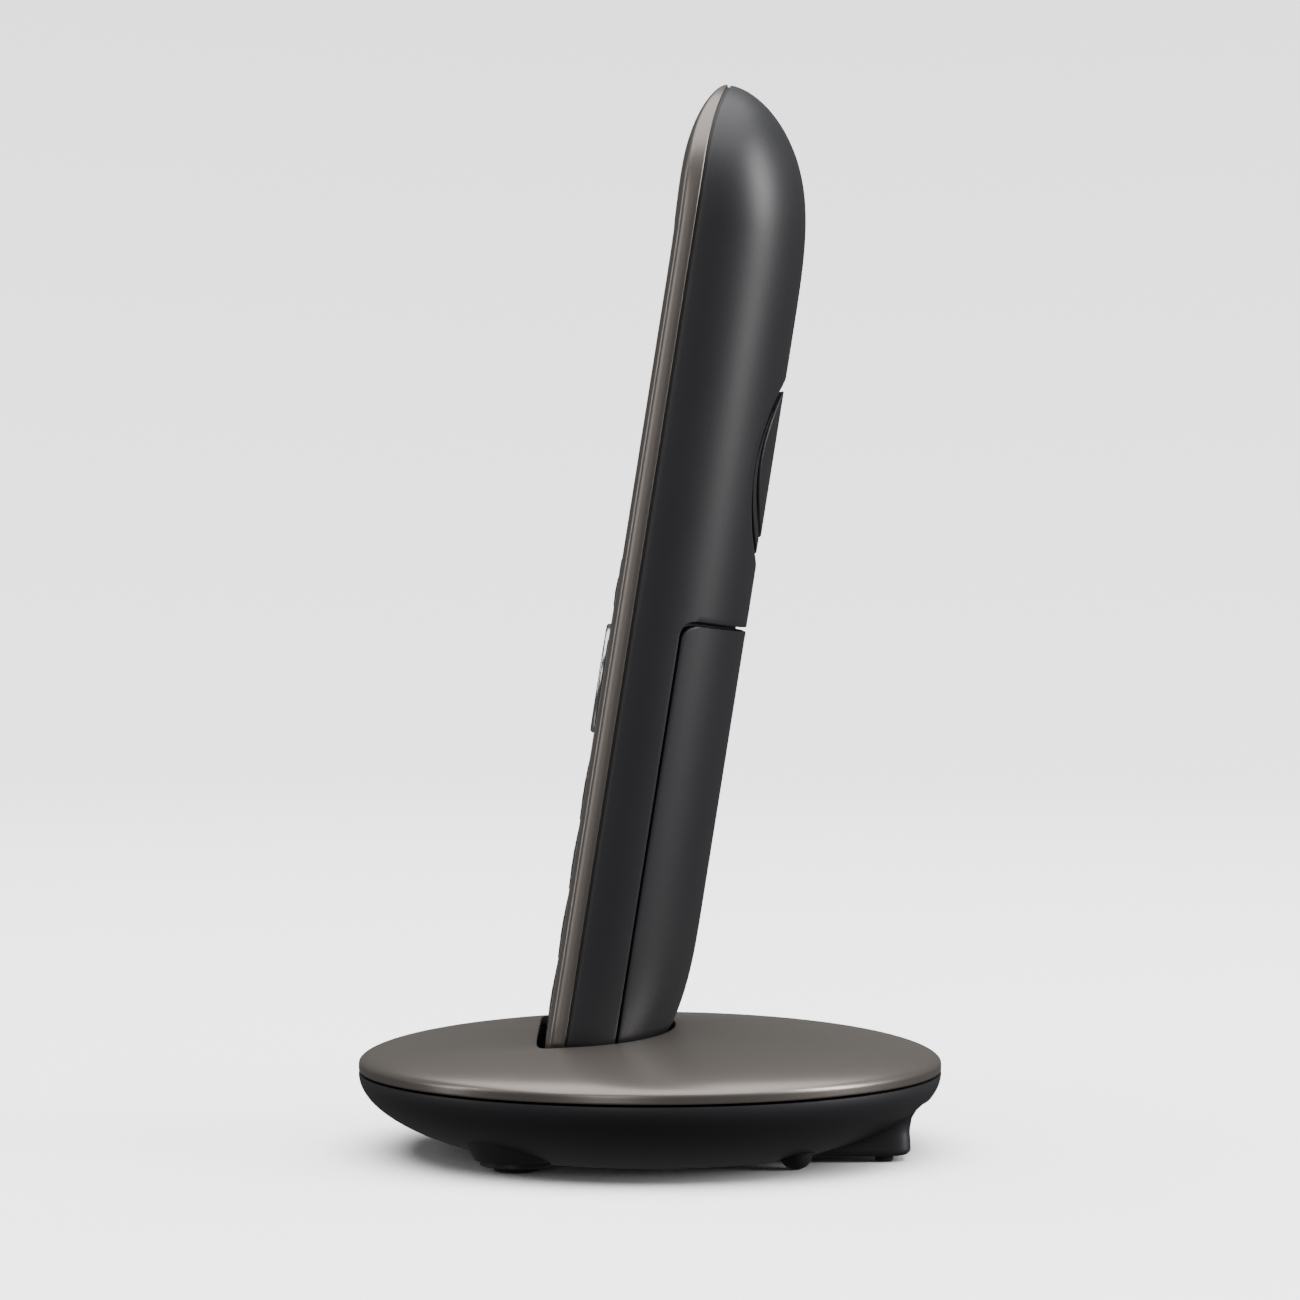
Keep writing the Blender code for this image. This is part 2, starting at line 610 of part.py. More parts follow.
def make_keys(handset):
    for name, x, z, width, height in KEYS:
        low = (x - width / 2, KEY_TOP_Y, z - height / 2)
        high = (x + width / 2, KEY_BOTTOM_Y, z + height / 2)
        add_box(name, low, high, KEY_BLACK, handset, bevel=0.0003, segments=1)
    middle = Vector((0, NAV_RING_Y, NAV_Z))
    ring_mesh = rod_mesh(NAV_RADIUS, (0, NAV_RING_TOP_Y - NAV_RING_Y, 0), (0, KEY_BOTTOM_Y - NAV_RING_Y, 0), 32)
    ring = add_object("nav_ring", ring_mesh, SILVER, handset, middle)
    bore = add_object("nav_bore_cutter", rod_mesh(NAV_CENTRE_RADIUS + KEY_GAP, (0, -0.005, NAV_Z),
                      (0, 0, NAV_Z), 24), None, handset)
    add_boolean(ring, bore)
    add_rod("nav_centre_key", NAV_CENTRE_RADIUS, (0, NAV_CENTRE_TOP_Y, NAV_Z), (0, KEY_BOTTOM_Y, NAV_Z),
            KEY_BLACK, handset, bevel=0.0003)


# ---------------------------------------------------------------- handset insides

def make_handset_insides(handset):
    add_box("keypad_mat", (-0.0185, -0.0012, 0.012), (0.0185, -0.0002, 0.0855), RUBBER, handset)
    add_box("handset_circuit_board", (-0.0180, 0.0016, 0.009), (0.0180, 0.0028, 0.148), CIRCUIT_BOARD,
            handset)
    add_box("display_module", (-0.0170, -0.0013, 0.089), (0.0170, 0.0012, 0.139), STEEL, handset,
            bevel=0.0003, segments=1)
    add_rod("earpiece_receiver", 0.0055, (0, -0.0008, 0.1515), (0, 0.0012, 0.1515), STEEL, handset)
    add_rod("loudspeaker", 0.0110, (0, 0.0075, HOLE_Z), (0, 0.0120, HOLE_Z), STEEL, handset, bevel=0.0005)
    add_rod("microphone", 0.0024, (0.0, 0.0031, 0.0125), (0.0, 0.0043, 0.0125), STEEL, handset, segments=16)
    frame = add_box("battery_frame", (-0.0175, 0.0034, 0.016), (0.0175, 0.0044, 0.078), BLACK_ABS, handset)
    holes = bmesh.new()
    for side, name in ((-1, "battery_cell_left"), (1, "battery_cell_right")):
        add_rod(name, 0.00525, (side * 0.0066, 0.0100, 0.0270), (side * 0.0066, 0.0100, 0.0715), BATTERY,
                handset, bevel=0.0005)
    for side, name in ((-1, "handset_screw_left"), (1, "handset_screw_right")):
        rod_mesh(0.0013, (side * 0.0145, 0.003, 0.0750), (side * 0.0145, 0.005, 0.0750), 12, holes)
        profile = [(0, 0.0022), (0.0017, 0.0022), (0.0017, 0.0011), (0.0009, 0.0011), (0.0009, -0.0006),
                   (0, -0.0006)]
        screw = turned_mesh(profile, 12)
        bmesh.ops.rotate(screw, verts=screw.verts, matrix=Matrix.Rotation(math.radians(-90), 3, "X"))
        add_object(name, screw, STEEL, handset, (side * 0.0145, 0.0037, 0.0750))
    add_boolean(frame, add_object("frame_hole_cutter", holes, None, handset))
    add_box("battery_contact_lower", (-0.0115, 0.0060, 0.0255), (0.0115, 0.0135, 0.0261), STEEL, handset)
    add_box("battery_contact_upper", (-0.0115, 0.0060, 0.0724), (0.0115, 0.0135, 0.0730), STEEL, handset)
    for side, name in ((-1, "charge_pad_left"), (1, "charge_pad_right")):
        middle = Vector((side * CONTACT_X, CONTACT_Y, 0.0020))
        reach = Vector((0.0018, 0.0016, 0.0012))
        add_box(name, middle - reach, middle + reach, GOLD, handset, bevel=0.0003, segments=1)


# ---------------------------------------------------------------- build

clear_scene()
PARTS = make_collection("cordless_phone")
CUTTERS = make_collection("cutters")
BRONZE = make_material("satin_bronze_lacquer", (0.165, 0.155, 0.148), 0.36, 0.75)
CHARCOAL_HANDSET = make_material("charcoal_matte_abs_handset", (0.036, 0.036, 0.040), 0.50)
CHARCOAL_BASE = make_material("charcoal_matte_abs_base", (0.030, 0.030, 0.033), 0.50)
BLACK_ABS = make_material("black_abs", (0.010, 0.010, 0.011), 0.55)
GLOSS_BLACK = make_material("gloss_black_bezel", (0.012, 0.012, 0.013), 0.15)
KEY_BLACK = make_material("key_polycarbonate", (0.020, 0.020, 0.022), 0.35)
SILVER = make_material("silver_plated_key", (0.60, 0.60, 0.61), 0.25, 1.0)
LENS = make_material("display_lens_acrylic", (0.008, 0.009, 0.011), 0.05)
RUBBER = make_material("black_rubber", (0.012, 0.012, 0.012), 0.85)
STEEL = make_material("bright_steel", (0.50, 0.50, 0.51), 0.35, 1.0)
GOLD = make_material("gold_plated_contact", (0.75, 0.55, 0.25), 0.30, 1.0)
CIRCUIT_BOARD = make_material("green_circuit_board", (0.02, 0.13, 0.06), 0.50)
BATTERY = make_material("battery_sleeve", (0.10, 0.22, 0.42), 0.40)

handset_axes = make_empty("handset_axes", SEAT, (-LEAN, 0, 0))
make_base_top_cover(handset_axes)
make_cradle_pocket(handset_axes)
make_charge_contacts(handset_axes)
make_base_lower_shell()
make_feet()
make_base_screws()
make_base_insides()
make_rear_shell(handset_axes)
make_battery_door(handset_axes)
make_speaker_cover(handset_axes)
make_speaker_gasket(handset_axes)
make_front_cover(handset_axes)
make_handset_front(handset_axes)
make_keys(handset_axes)
make_handset_insides(handset_axes)
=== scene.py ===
"""Cordless phone with its charging base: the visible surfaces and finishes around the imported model."""
import json
import math

import bmesh
import bpy
import numpy as np
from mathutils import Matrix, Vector


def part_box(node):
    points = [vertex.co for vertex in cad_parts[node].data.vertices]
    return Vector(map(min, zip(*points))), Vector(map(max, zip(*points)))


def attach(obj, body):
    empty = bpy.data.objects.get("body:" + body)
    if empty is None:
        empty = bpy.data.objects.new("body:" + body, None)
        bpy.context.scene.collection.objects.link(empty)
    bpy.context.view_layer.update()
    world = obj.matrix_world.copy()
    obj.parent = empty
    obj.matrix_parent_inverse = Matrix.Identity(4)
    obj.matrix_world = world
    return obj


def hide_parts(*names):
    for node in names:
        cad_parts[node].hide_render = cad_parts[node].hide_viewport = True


bl_info = {
    "name": "Cordless Phone Surfaces",
    "version": (1, 0, 0),
    "blender": (4, 5, 0),
    "location": "3D View > Sidebar > Phone",
    "description": "Builds a cordless phone handset and its round charging base",
    "category": "Add Mesh",
}

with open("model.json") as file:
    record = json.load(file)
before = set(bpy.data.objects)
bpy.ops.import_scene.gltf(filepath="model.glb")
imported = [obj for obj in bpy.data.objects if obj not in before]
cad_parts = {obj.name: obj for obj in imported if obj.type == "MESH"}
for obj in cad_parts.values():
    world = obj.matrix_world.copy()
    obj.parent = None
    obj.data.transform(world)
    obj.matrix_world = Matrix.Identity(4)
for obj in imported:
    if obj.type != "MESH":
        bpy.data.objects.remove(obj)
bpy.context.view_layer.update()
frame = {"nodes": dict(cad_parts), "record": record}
LIFT_AXIS = next(j["axis"] for j in frame["record"]["behaviour"]["joints"] if j["name"] == "handset_lift")
LEAN = math.atan2(LIFT_AXIS[1], LIFT_AXIS[2])
MM = 0.001
DIGITS = ("1", "2", "3", "4", "5", "6", "7", "8", "9", "star", "0", "hash")

# Corner radius of each key, in the order in which the bezel's holes are cut
KEY_CORNERS = {**{"key_" + digit: 0.0018 for digit in DIGITS}, "key_talk": 0.0022, "key_end": 0.0022,
               "soft_key_left": 0.0015, "soft_key_right": 0.0015, "nav_ring": 0.00889}
# Finish, width and height of the bar printed on each key that has no number
KEY_MARKS = (("key_talk", "green", 0.0040, 0.0012), ("key_end", "red", 0.0040, 0.0012),
             ("soft_key_left", "print", 0.0034, 0.0006), ("soft_key_right", "print", 0.0034, 0.0006))
KEY_EDGE = 0.0004  # rounding around a key's top
KEY_CLEARANCE = 0.0005  # a key's hole over its width
SHELL_EDGE = 0.00018  # rounding along the seams of the rear shell and the battery door
RING_REACH = 0.0178  # height of the patch of shell on each side of the speaker hole's middle


# ------------------------------------------------------------------ settings

def length_property(name, description, default):
    """A length shown in the scene's units."""
    return bpy.props.FloatProperty(name=name, description=description, default=default, min=0.0,
                                   precision=5, unit="LENGTH", subtype="DISTANCE")


def hex_to_linear(text):
    """An sRGB hex colour as linear red, green and blue."""
    values = [int(text[i:i + 2], 16) / 255 for i in (1, 3, 5)]
    return [v / 12.92 if v <= 0.04045 else ((v + 0.055) / 1.055) ** 2.4 for v in values]


def colour_property(name, description, hex_text):
    """A finish's colour, given as sRGB hex."""
    return bpy.props.FloatVectorProperty(name=name, description=description, subtype="COLOR",
                                         default=hex_to_linear(hex_text), min=0.0, max=1.0, size=3)


class PhoneHandsetSettings(bpy.types.PropertyGroup):
    """Sizes of the handset, along its own axes."""
    seat_y: bpy.props.FloatProperty(name="Seat Y", description="Bottom of the seam plane, front to back",
                                    default=-0.01485, precision=5, unit="LENGTH")
    seat_z: length_property("Seat height", "Height of the bottom end of the seam plane", 0.00988)
    length: length_property("Length", "Handset from end to end", 0.1655)
    half_width: length_property("Half width", "Half the handset's width at the seam", 0.0235)
    back_depth: length_property("Back depth", "From the seam plane to the back", 0.0182)
    front_depth: length_property("Front depth", "From the seam plane to the front", 0.0032)
    shell_wall: length_property("Shell wall", "Wall of the rear shell", 0.0015)
    cover_wall: length_property("Cover wall", "Wall of the front cover", 0.0011)
    seam_gap: length_property("Seam gap", "Shadow gap between the shells", 0.0004)
    tip_setback: length_property("Tip setback", "How far the seam bends back at the tip", 0.0019)
    door_side: length_property("Door side", "Seam of the battery door behind the seam plane", 0.00768)
    door_top: length_property("Door top", "Height of the top of the battery door", 0.0792)
    door_corner: length_property("Door corner", "Radius of the door's top corners", 0.0026)
    door_wall: length_property("Door wall", "Wall of the battery door", 0.0013)
    door_gap: length_property("Door gap", "Gap along the sides of the battery door", 0.0004)
    door_top_gap: length_property("Door top gap", "Gap above the battery door", 0.0007)
    hole_height: length_property("Hole height", "Height of the middle of the speaker hole", 0.1047)
    hole_radius: length_property("Hole radius", "Radius of the speaker hole", 0.01365)
    chamfer_width: length_property("Chamfer width", "Dished rim around the speaker hole", 0.00165)
    chamfer_depth: length_property("Chamfer depth", "How far the dished rim sinks", 0.0010)
    disc_height: length_property("Disc height", "Height of the round speaker cover's middle", 0.10607)
    disc_radius: length_property("Disc radius", "Radius of the round speaker cover", 0.01205)
    gasket_gap: length_property("Gasket gap", "Gap and step around the black crescent", 0.0003)
    window_width: length_property("Window width", "Opening in the front cover", 0.0392)
    window_low: length_property("Window bottom", "Height of the opening's lower edge", 0.0097)
    window_high: length_property("Window top", "Height of the opening's upper edge", 0.1420)
    window_corner: length_property("Window corner", "Radius of the opening's corners", 0.0032)
    ear_slot_height: length_property("Ear slot height", "Height of the ear slot's middle", 0.1515)


class PhoneBaseSettings(bpy.types.PropertyGroup):
    """Sizes of the charging base."""
    radius: length_property("Radius", "Radius of the base at its seam", 0.0475)
    wall: length_property("Wall", "Wall of the top cover", 0.0016)
    seam_z: length_property("Seam height", "Height of the seam between cover and bowl", 0.01307)
    lip: length_property("Lip", "Upright rim of the top cover", 0.0011)
    crown_z: length_property("Crown height", "Top of the domed cover", 0.0205)
    bowl_depth: length_property("Bowl depth", "Half depth of the bowl's ellipse", 0.0152)
    floor_z: length_property("Floor height", "Height of the bowl's flat underside", 0.00076)
    pocket_half_width: length_property("Pocket half width", "Half the width of the pocket", 0.0240)
    pocket_front: length_property("Pocket front", "Pocket in front of the seam plane", 0.0047)
    pocket_back: length_property("Pocket back", "Pocket behind the seam plane", 0.0171)
    block_half_width: length_property("Block half width", "Half the width of the socket block", 0.0170)
    block_face: length_property("Block face", "From the middle to the socket block's rear face", 0.0419)
    block_low: length_property("Block underside", "Height of the socket block's underside", 0.0010)


class PhoneColourSettings(bpy.types.PropertyGroup):
    """Colours of the finishes."""
    bronze: colour_property("Bronze", "Satin lacquer of the covers", "#7a746f")
    charcoal: colour_property("Charcoal", "Moulded rear shell", "#1a1a1d")
    bowl: colour_property("Bowl", "Moulded lower shell of the base", "#212124")
    pocket: colour_property("Pocket", "Liner of the pocket", "#161617")
    keys: colour_property("Keys", "Key caps", "#1d1d1f")
    print_white: colour_property("Key print", "Numbers on the key caps", "#d9d9d6")
    board: colour_property("Circuit board", "Solder mask", "#1b5c38")
    battery: colour_property("Cell sleeve", "Sleeve of the rechargeable cells", "#3f72a5")


def handset():
    """The handset's settings."""
    return bpy.context.scene.phone_handset


def base():
    """The base's settings."""
    return bpy.context.scene.phone_base


# ------------------------------------------------------------------ materials

def add_node(tree, kind, settings=None, links=None):
    """Add one node. Settings name an attribute or an input, and links name an input."""
    node = tree.nodes.new(kind)
    for key, value in (settings or {}).items():
        if hasattr(node, key):
            setattr(node, key, value)
        else:
            node.inputs[key].default_value = value
    for key, source in (links or {}).items():
        tree.links.new(source, node.inputs[key])
    return node


def new_material(name, settings):
    """A Principled material with its constant sockets set; returns it, its tree and its shader."""
    material = bpy.data.materials.new(name)
    material.use_nodes = True
    tree = material.node_tree
    shader = tree.nodes["Principled BSDF"]
    for key, value in settings.items():
        shader.inputs[key].default_value = value
    return material, tree, shader


def per_metre(millimetres):
    """Noise scale in Object coordinates whose features are this many millimetres across."""
    return 1 / (millimetres * MM)


def grained(name, colour, settings, grain_mm, depth_mm, tint=0.06, rough_swing=0.05, cloud_mm=14.0):
    """Fine grain from noise as bump, with a slow drift of colour and roughness over it.

    The grain is a noise of grain_mm, raised by depth_mm. The drift is a noise of cloud_mm that
    lightens or darkens the colour by tint and moves the roughness by rough_swing.
    """
    material, tree, shader = new_material(name, settings)
    place = add_node(tree, "ShaderNodeTexCoord").outputs["Object"]
    grain = add_node(tree, "ShaderNodeTexNoise", {"Scale": per_metre(grain_mm), "Detail": 3.0,
                                                  "Roughness": 0.6}, {"Vector": place})
    cloud = add_node(tree, "ShaderNodeTexNoise", {"Scale": per_metre(cloud_mm), "Detail": 2.0},
                     {"Vector": place})
    ramp = add_node(tree, "ShaderNodeMix", {"data_type": "RGBA"}, {"Factor": grain.outputs["Fac"]})
    dark = [channel * (1 - tint) for channel in colour]
    light = [min(1, channel * (1 + tint)) for channel in colour]
    ramp.inputs[6].default_value = (*dark, 1)
    ramp.inputs[7].default_value = (*light, 1)
    tree.links.new(ramp.outputs[2], shader.inputs["Base Color"])
    middle = settings.get("Roughness", 0.5)
    rough = add_node(tree, "ShaderNodeMapRange", {"To Min": middle - rough_swing,
                                                  "To Max": middle + rough_swing},
                     {"Value": cloud.outputs["Fac"]})
    tree.links.new(rough.outputs["Result"], shader.inputs["Roughness"])
    bump = add_node(tree, "ShaderNodeBump", {"Strength": 1.0, "Distance": depth_mm * MM},
                    {"Height": grain.outputs["Fac"]})
    tree.links.new(bump.outputs["Normal"], shader.inputs["Normal"])
    return material


def make_materials():
    """Every finish of the phone, by its short name."""
    c = bpy.context.scene.phone_colours
    return {
        # Metallic lacquer sprayed on ABS: fine flake that glitters a little under a satin clear coat
        "bronze": grained("satin_bronze_lacquer_on_abs", c.bronze,
                          {"Metallic": 0.85, "Roughness": 0.34, "Coat Weight": 0.12,
                           "Coat Roughness": 0.25},
                          grain_mm=0.16, depth_mm=0.0009, tint=0.10, rough_swing=0.02),
        # ABS moulded in a spark-eroded tool: dense matt grain with a soft sheen at grazing angles
        "charcoal": grained("charcoal_spark_eroded_abs", c.charcoal,
                            {"Roughness": 0.46, "IOR": 1.54},
                            grain_mm=0.22, depth_mm=0.006, tint=0.08, rough_swing=0.03),
        "bowl": grained("charcoal_moulded_abs", c.bowl,
                        {"Roughness": 0.44, "IOR": 1.54},
                        grain_mm=0.24, depth_mm=0.006, tint=0.08, rough_swing=0.03),
        # The same resin in black, polished less, for the parts that sit in shade
        "pocket": grained("black_moulded_abs", c.pocket, {"Roughness": 0.55, "IOR": 1.54},
                          grain_mm=0.25, depth_mm=0.008, tint=0.08),
        # Polycarbonate from a mirror-polished tool: deep gloss with a faint orange peel of 3 mm
        "bezel": grained("piano_black_polycarbonate", hex_to_linear("#0d0d0e"),
                         {"Roughness": 0.12, "IOR": 1.58, "Coat Weight": 0.3, "Coat Roughness": 0.04},
                         grain_mm=3.0, depth_mm=0.004, tint=0.02, rough_swing=0.01),
        # Cast acrylic, back-printed in black: flat, glossy, with hardly any texture
        "lens": grained("smoked_acrylic_lens", hex_to_linear("#0a0b0d"),
                        {"Roughness": 0.05, "IOR": 1.49, "Coat Weight": 0.5, "Coat Roughness": 0.02},
                        grain_mm=6.0, depth_mm=0.002, tint=0.02, rough_swing=0.01),
        "keys": grained("satin_polycarbonate_key_caps", c.keys, {"Roughness": 0.34, "IOR": 1.58},
                        grain_mm=0.3, depth_mm=0.004, tint=0.06, rough_swing=0.03),
        # Chromium plated ABS: bright and slightly satin where thumbs rub it
        "silver": grained("chrome_plated_abs", hex_to_linear("#c9c9cb"),
                          {"Metallic": 1.0, "Roughness": 0.2},
                          grain_mm=0.4, depth_mm=0.0015, tint=0.03, rough_swing=0.05, cloud_mm=4.0),
        "rubber": grained("black_thermoplastic_rubber", hex_to_linear("#171717"),
                          {"Roughness": 0.8, "IOR": 1.52},
                          grain_mm=0.35, depth_mm=0.02, tint=0.1),
        "steel": grained("zinc_plated_steel", hex_to_linear("#b4b6b8"),
                         {"Metallic": 1.0, "Roughness": 0.33},
                         grain_mm=0.5, depth_mm=0.004, tint=0.08, rough_swing=0.06, cloud_mm=3.0),
        "gold": grained("gold_plated_phosphor_bronze", hex_to_linear("#d9b36a"),
                        {"Metallic": 1.0, "Roughness": 0.26},
                        grain_mm=0.3, depth_mm=0.002, tint=0.05, rough_swing=0.05, cloud_mm=2.0),
        "board": grained("green_solder_mask", c.board, {"Roughness": 0.35, "IOR": 1.55},
                         grain_mm=0.6, depth_mm=0.01, tint=0.15, rough_swing=0.04, cloud_mm=5.0),
        "battery": grained("shrunk_vinyl_cell_sleeve", c.battery, {"Roughness": 0.3, "IOR": 1.54},
                           grain_mm=1.2, depth_mm=0.02, tint=0.05, rough_swing=0.05, cloud_mm=6.0),
        "print": grained("white_pad_print", c.print_white, {"Roughness": 0.5},
                         grain_mm=0.2, depth_mm=0.002, tint=0.04),
        "green": grained("green_pad_print", hex_to_linear("#3d9a4f"), {"Roughness": 0.5},
                         grain_mm=0.2, depth_mm=0.002),
        "red": grained("red_pad_print", hex_to_linear("#b93a34"), {"Roughness": 0.5},
                       grain_mm=0.2, depth_mm=0.002),
    }


FINISHES = {}


# ------------------------------------------------------------------ surfaces

def to_world(points):
    """Handset axes to world: lean back about X, then move to the seat."""
    h = handset()
    x, y, z = np.moveaxis(np.asarray(points, float), -1, 0)
    return np.stack([x, h.seat_y + math.cos(LEAN) * y + math.sin(LEAN) * z,
                     h.seat_z - math.sin(LEAN) * y + math.cos(LEAN) * z], axis=-1)


def quads_of(rows, columns, start):
    """Vertex numbers of the cells of one grid."""
    index = start + np.arange(rows * columns).reshape(rows, columns)
    cells = [index[:-1, :-1], index[:-1, 1:], index[1:, 1:], index[1:, :-1]]
    return np.stack(cells, axis=-1).reshape(-1, 4)


def weld(points, quads):
    """Merge points that share a place, and drop the corners that a cell thereby loses."""
    keys = np.round(points / 1e-7).astype(np.int64)
    _, first, inverse = np.unique(keys, axis=0, return_index=True, return_inverse=True)
    quads = inverse.reshape(-1)[quads]
    same = quads == np.roll(quads, -1, axis=1)
    whole = quads[~same.any(axis=1)]
    triangles = [quads[(same.sum(axis=1) == 1) & same[:, k]][:, [j for j in range(4) if j != k]]
                 for k in range(4)]
    return first, whole, np.concatenate(triangles)


def face_normals(points, faces):
    """Area-weighted normals from each face's diagonals, or sides for a triangle."""
    p = points[faces]
    if faces.shape[1] == 4:
        return np.cross(p[:, 2] - p[:, 0], p[:, 3] - p[:, 1]) / 2
    return np.cross(p[:, 1] - p[:, 0], p[:, 2] - p[:, 0]) / 2


def face_outwards(points, faces, centre, size):
    """Turn round each face that looks towards the centre of the ellipsoid of that size."""
    outward = (points[faces].mean(axis=1) - centre) / np.square(size)
    inward = (face_normals(points, faces) * outward).sum(axis=1) < 0
    faces[inward] = faces[inward][:, ::-1]
    return faces


def boundary_of(faces_list):
    """Directed edges that belong to one face only."""
    edges = np.concatenate([np.stack([f, np.roll(f, -1, axis=1)], axis=-1).reshape(-1, 2)
                            for f in faces_list if len(f)])
    ordered = np.sort(edges, axis=1)
    _, inverse, counts = np.unique(ordered, axis=0, return_inverse=True, return_counts=True)
    return edges[counts[inverse.reshape(-1)] == 1]


def unit(vectors):
    """Vectors scaled to a length of one."""
    return vectors / np.maximum(np.linalg.norm(vectors, axis=-1, keepdims=True), 1e-12)


def shell_mesh(name, outer, inner, centre, size, edge_radius, arc_rows=3, place=None):
    """A thick shell between two stacks of grids with the same cells.

    The free edges of the outer sheet are drawn in by edge_radius and rolled over a quarter circle
    on to a wall that runs to the inner sheet. The circle lies between the direction along the
    surface away from the edge and the direction to the inner sheet.
    """
    points = np.concatenate([g.reshape(-1, 3) for g in outer])
    under = np.concatenate([g.reshape(-1, 3) for g in inner])
    quads, start = [], 0
    for grid in outer:
        quads.append(quads_of(*grid.shape[:2], start))
        start += grid.shape[0] * grid.shape[1]
    first, quads, triangles = weld(points, np.concatenate(quads))
    points, under = points[first], under[first]
    quads = face_outwards(points, quads, centre, size)
    triangles = face_outwards(points, triangles, centre, size)
    normals = np.zeros_like(points)
    for faces in (quads, triangles):
        for corner in range(faces.shape[1]):
            np.add.at(normals, faces[:, corner], face_normals(points, faces))
    edges = boundary_of([quads, triangles])
    along = np.zeros_like(points)
    step = unit(points[edges[:, 1]] - points[edges[:, 0]])
    np.add.at(along, edges[:, 0], step)
    np.add.at(along, edges[:, 1], step)
    rim = np.unique(edges)
    away = unit(np.cross(unit(normals[rim]), unit(along[rim])))
    down = unit(under[rim] - points[rim])
    middle = points[rim] + edge_radius * (away + down)
    count = len(points)
    number = np.zeros(count, int)
    number[rim] = np.arange(len(rim))
    rows = [middle - edge_radius * (math.cos(a) * down + math.sin(a) * away)
            for a in (math.pi / 2 * k / arc_rows for k in range(arc_rows + 1))]
    points[rim] = rows[0]
    everything = np.concatenate([points, under] + rows[1:])
    ring = [rim] + [2 * count + k * len(rim) + np.arange(len(rim)) for k in range(arc_rows)] + [count + rim]
    sides = [np.stack([upper[number[edges[:, 1]]], upper[number[edges[:, 0]]],
                       lower[number[edges[:, 0]]], lower[number[edges[:, 1]]]], axis=-1)
             for upper, lower in zip(ring, ring[1:])]
    quads = np.concatenate([quads, quads[:, ::-1] + count] + sides)
    triangles = np.concatenate([triangles, triangles[:, ::-1] + count])
    if place:
        everything = place(everything)
    return finished_mesh(name, everything, quads.tolist() + triangles.tolist())


def finished_mesh(name, points, faces, sharp_degrees=50):
    """A mesh with its doubles merged and its faces turned outwards, smooth up to the sharp angle."""
    mesh = bpy.data.meshes.new(name)
    mesh.from_pydata(points.tolist(), [], faces)
    bm = bmesh.new()
    bm.from_mesh(mesh)
    bmesh.ops.remove_doubles(bm, verts=bm.verts, dist=5e-7)
    bmesh.ops.recalc_face_normals(bm, faces=bm.faces)
    bm.to_mesh(mesh)
    bm.free()
    mesh.shade_smooth()
    mesh.set_sharp_from_angle(angle=math.radians(sharp_degrees))
    return mesh


def closed_mesh(name, grid, place=None, sharp_degrees=40):
    """A mesh from one grid whose columns wrap round. It is solid if its end rows are points or meet."""
    grid = np.concatenate([grid, grid[:, :1]], axis=1)
    first, quads, triangles = weld(grid.reshape(-1, 3), quads_of(*grid.shape[:2], 0))
    points = grid.reshape(-1, 3)[first]
    if place:
        points = place(points)
    return finished_mesh(name, points, quads.tolist() + triangles.tolist(), sharp_degrees)


def block_mesh(low, high, place=None):
    """A plain cutter box between two corners."""
    corners = np.stack(np.meshgrid(*zip(low, high), indexing="ij"), axis=-1).reshape(-1, 3)
    faces = [(0, 1, 3, 2), (4, 6, 7, 5), (0, 4, 5, 1), (2, 3, 7, 6), (0, 2, 6, 4), (1, 5, 7, 3)]
    return finished_mesh("cutter_box", place(corners) if place else corners, faces)


def revolved(profile, steps=96):
    """Turn (radius, height) points about Z: x and y are the radius times cosine and sine."""
    profile = np.asarray(profile, float)
    turn = 2 * np.pi * np.arange(steps) / steps
    radius, height = profile[:, :1], profile[:, 1:]
    return np.stack([radius * np.cos(turn), radius * np.sin(turn),
                     np.broadcast_to(height, (len(profile), steps))], axis=-1)


def round_rectangle(width, height, radius, inset=0.0, steps=10):
    """A rectangle with quarter circles at its corners, drawn in by inset, as (a, b) points."""
    radius = max(radius - inset, 0.0001)
    angle = np.linspace(0, np.pi / 2, steps)
    turn = (np.arange(4)[:, None] * np.pi / 2 + angle).ravel()
    sign_a = np.repeat((1, -1, -1, 1), steps)
    sign_b = np.repeat((1, 1, -1, -1), steps)
    a = sign_a * (width / 2 - inset - radius) + radius * np.cos(turn)
    b = sign_b * (height / 2 - inset - radius) + radius * np.sin(turn)
    return np.stack([a, b], axis=-1)


def cap_grid(width, height, corner, top, bottom, edge=0.0004, crown=0.0, rings=6):
    """A key or plate standing on the front: (x, z) outlines stacked along y.

    Rings shrink to a point on the top face, which rises by crown times one minus the square of
    the distance from the middle. The edge is a quarter circle, the side is upright and the
    bottom closes to a point.
    """
    outline = round_rectangle(width, height, corner)
    rows = []
    for k in range(rings + 1):
        share = k / rings
        flat = round_rectangle(width, height, corner, edge) * share
        rise = top - crown * (1 - (flat[:, 0] * 2 / width) ** 2) * (1 - (flat[:, 1] * 2 / height) ** 2)
        rows.append(np.stack([flat[:, 0], rise, flat[:, 1]], axis=-1))
    for k in range(1, 5):
        angle = math.pi / 2 * k / 4
        ring = round_rectangle(width, height, corner, edge * (1 - math.sin(angle)))
        level = np.full(len(ring), top + edge * (1 - math.cos(angle)))
        rows.append(np.stack([ring[:, 0], level, ring[:, 1]], axis=-1))
    base_level = np.full(len(outline), bottom)
    rows.append(np.stack([outline[:, 0], base_level, outline[:, 1]], axis=-1))
    rows.append(np.stack([outline[:, 0] * 0, base_level, outline[:, 1] * 0], axis=-1))
    return np.stack(rows)


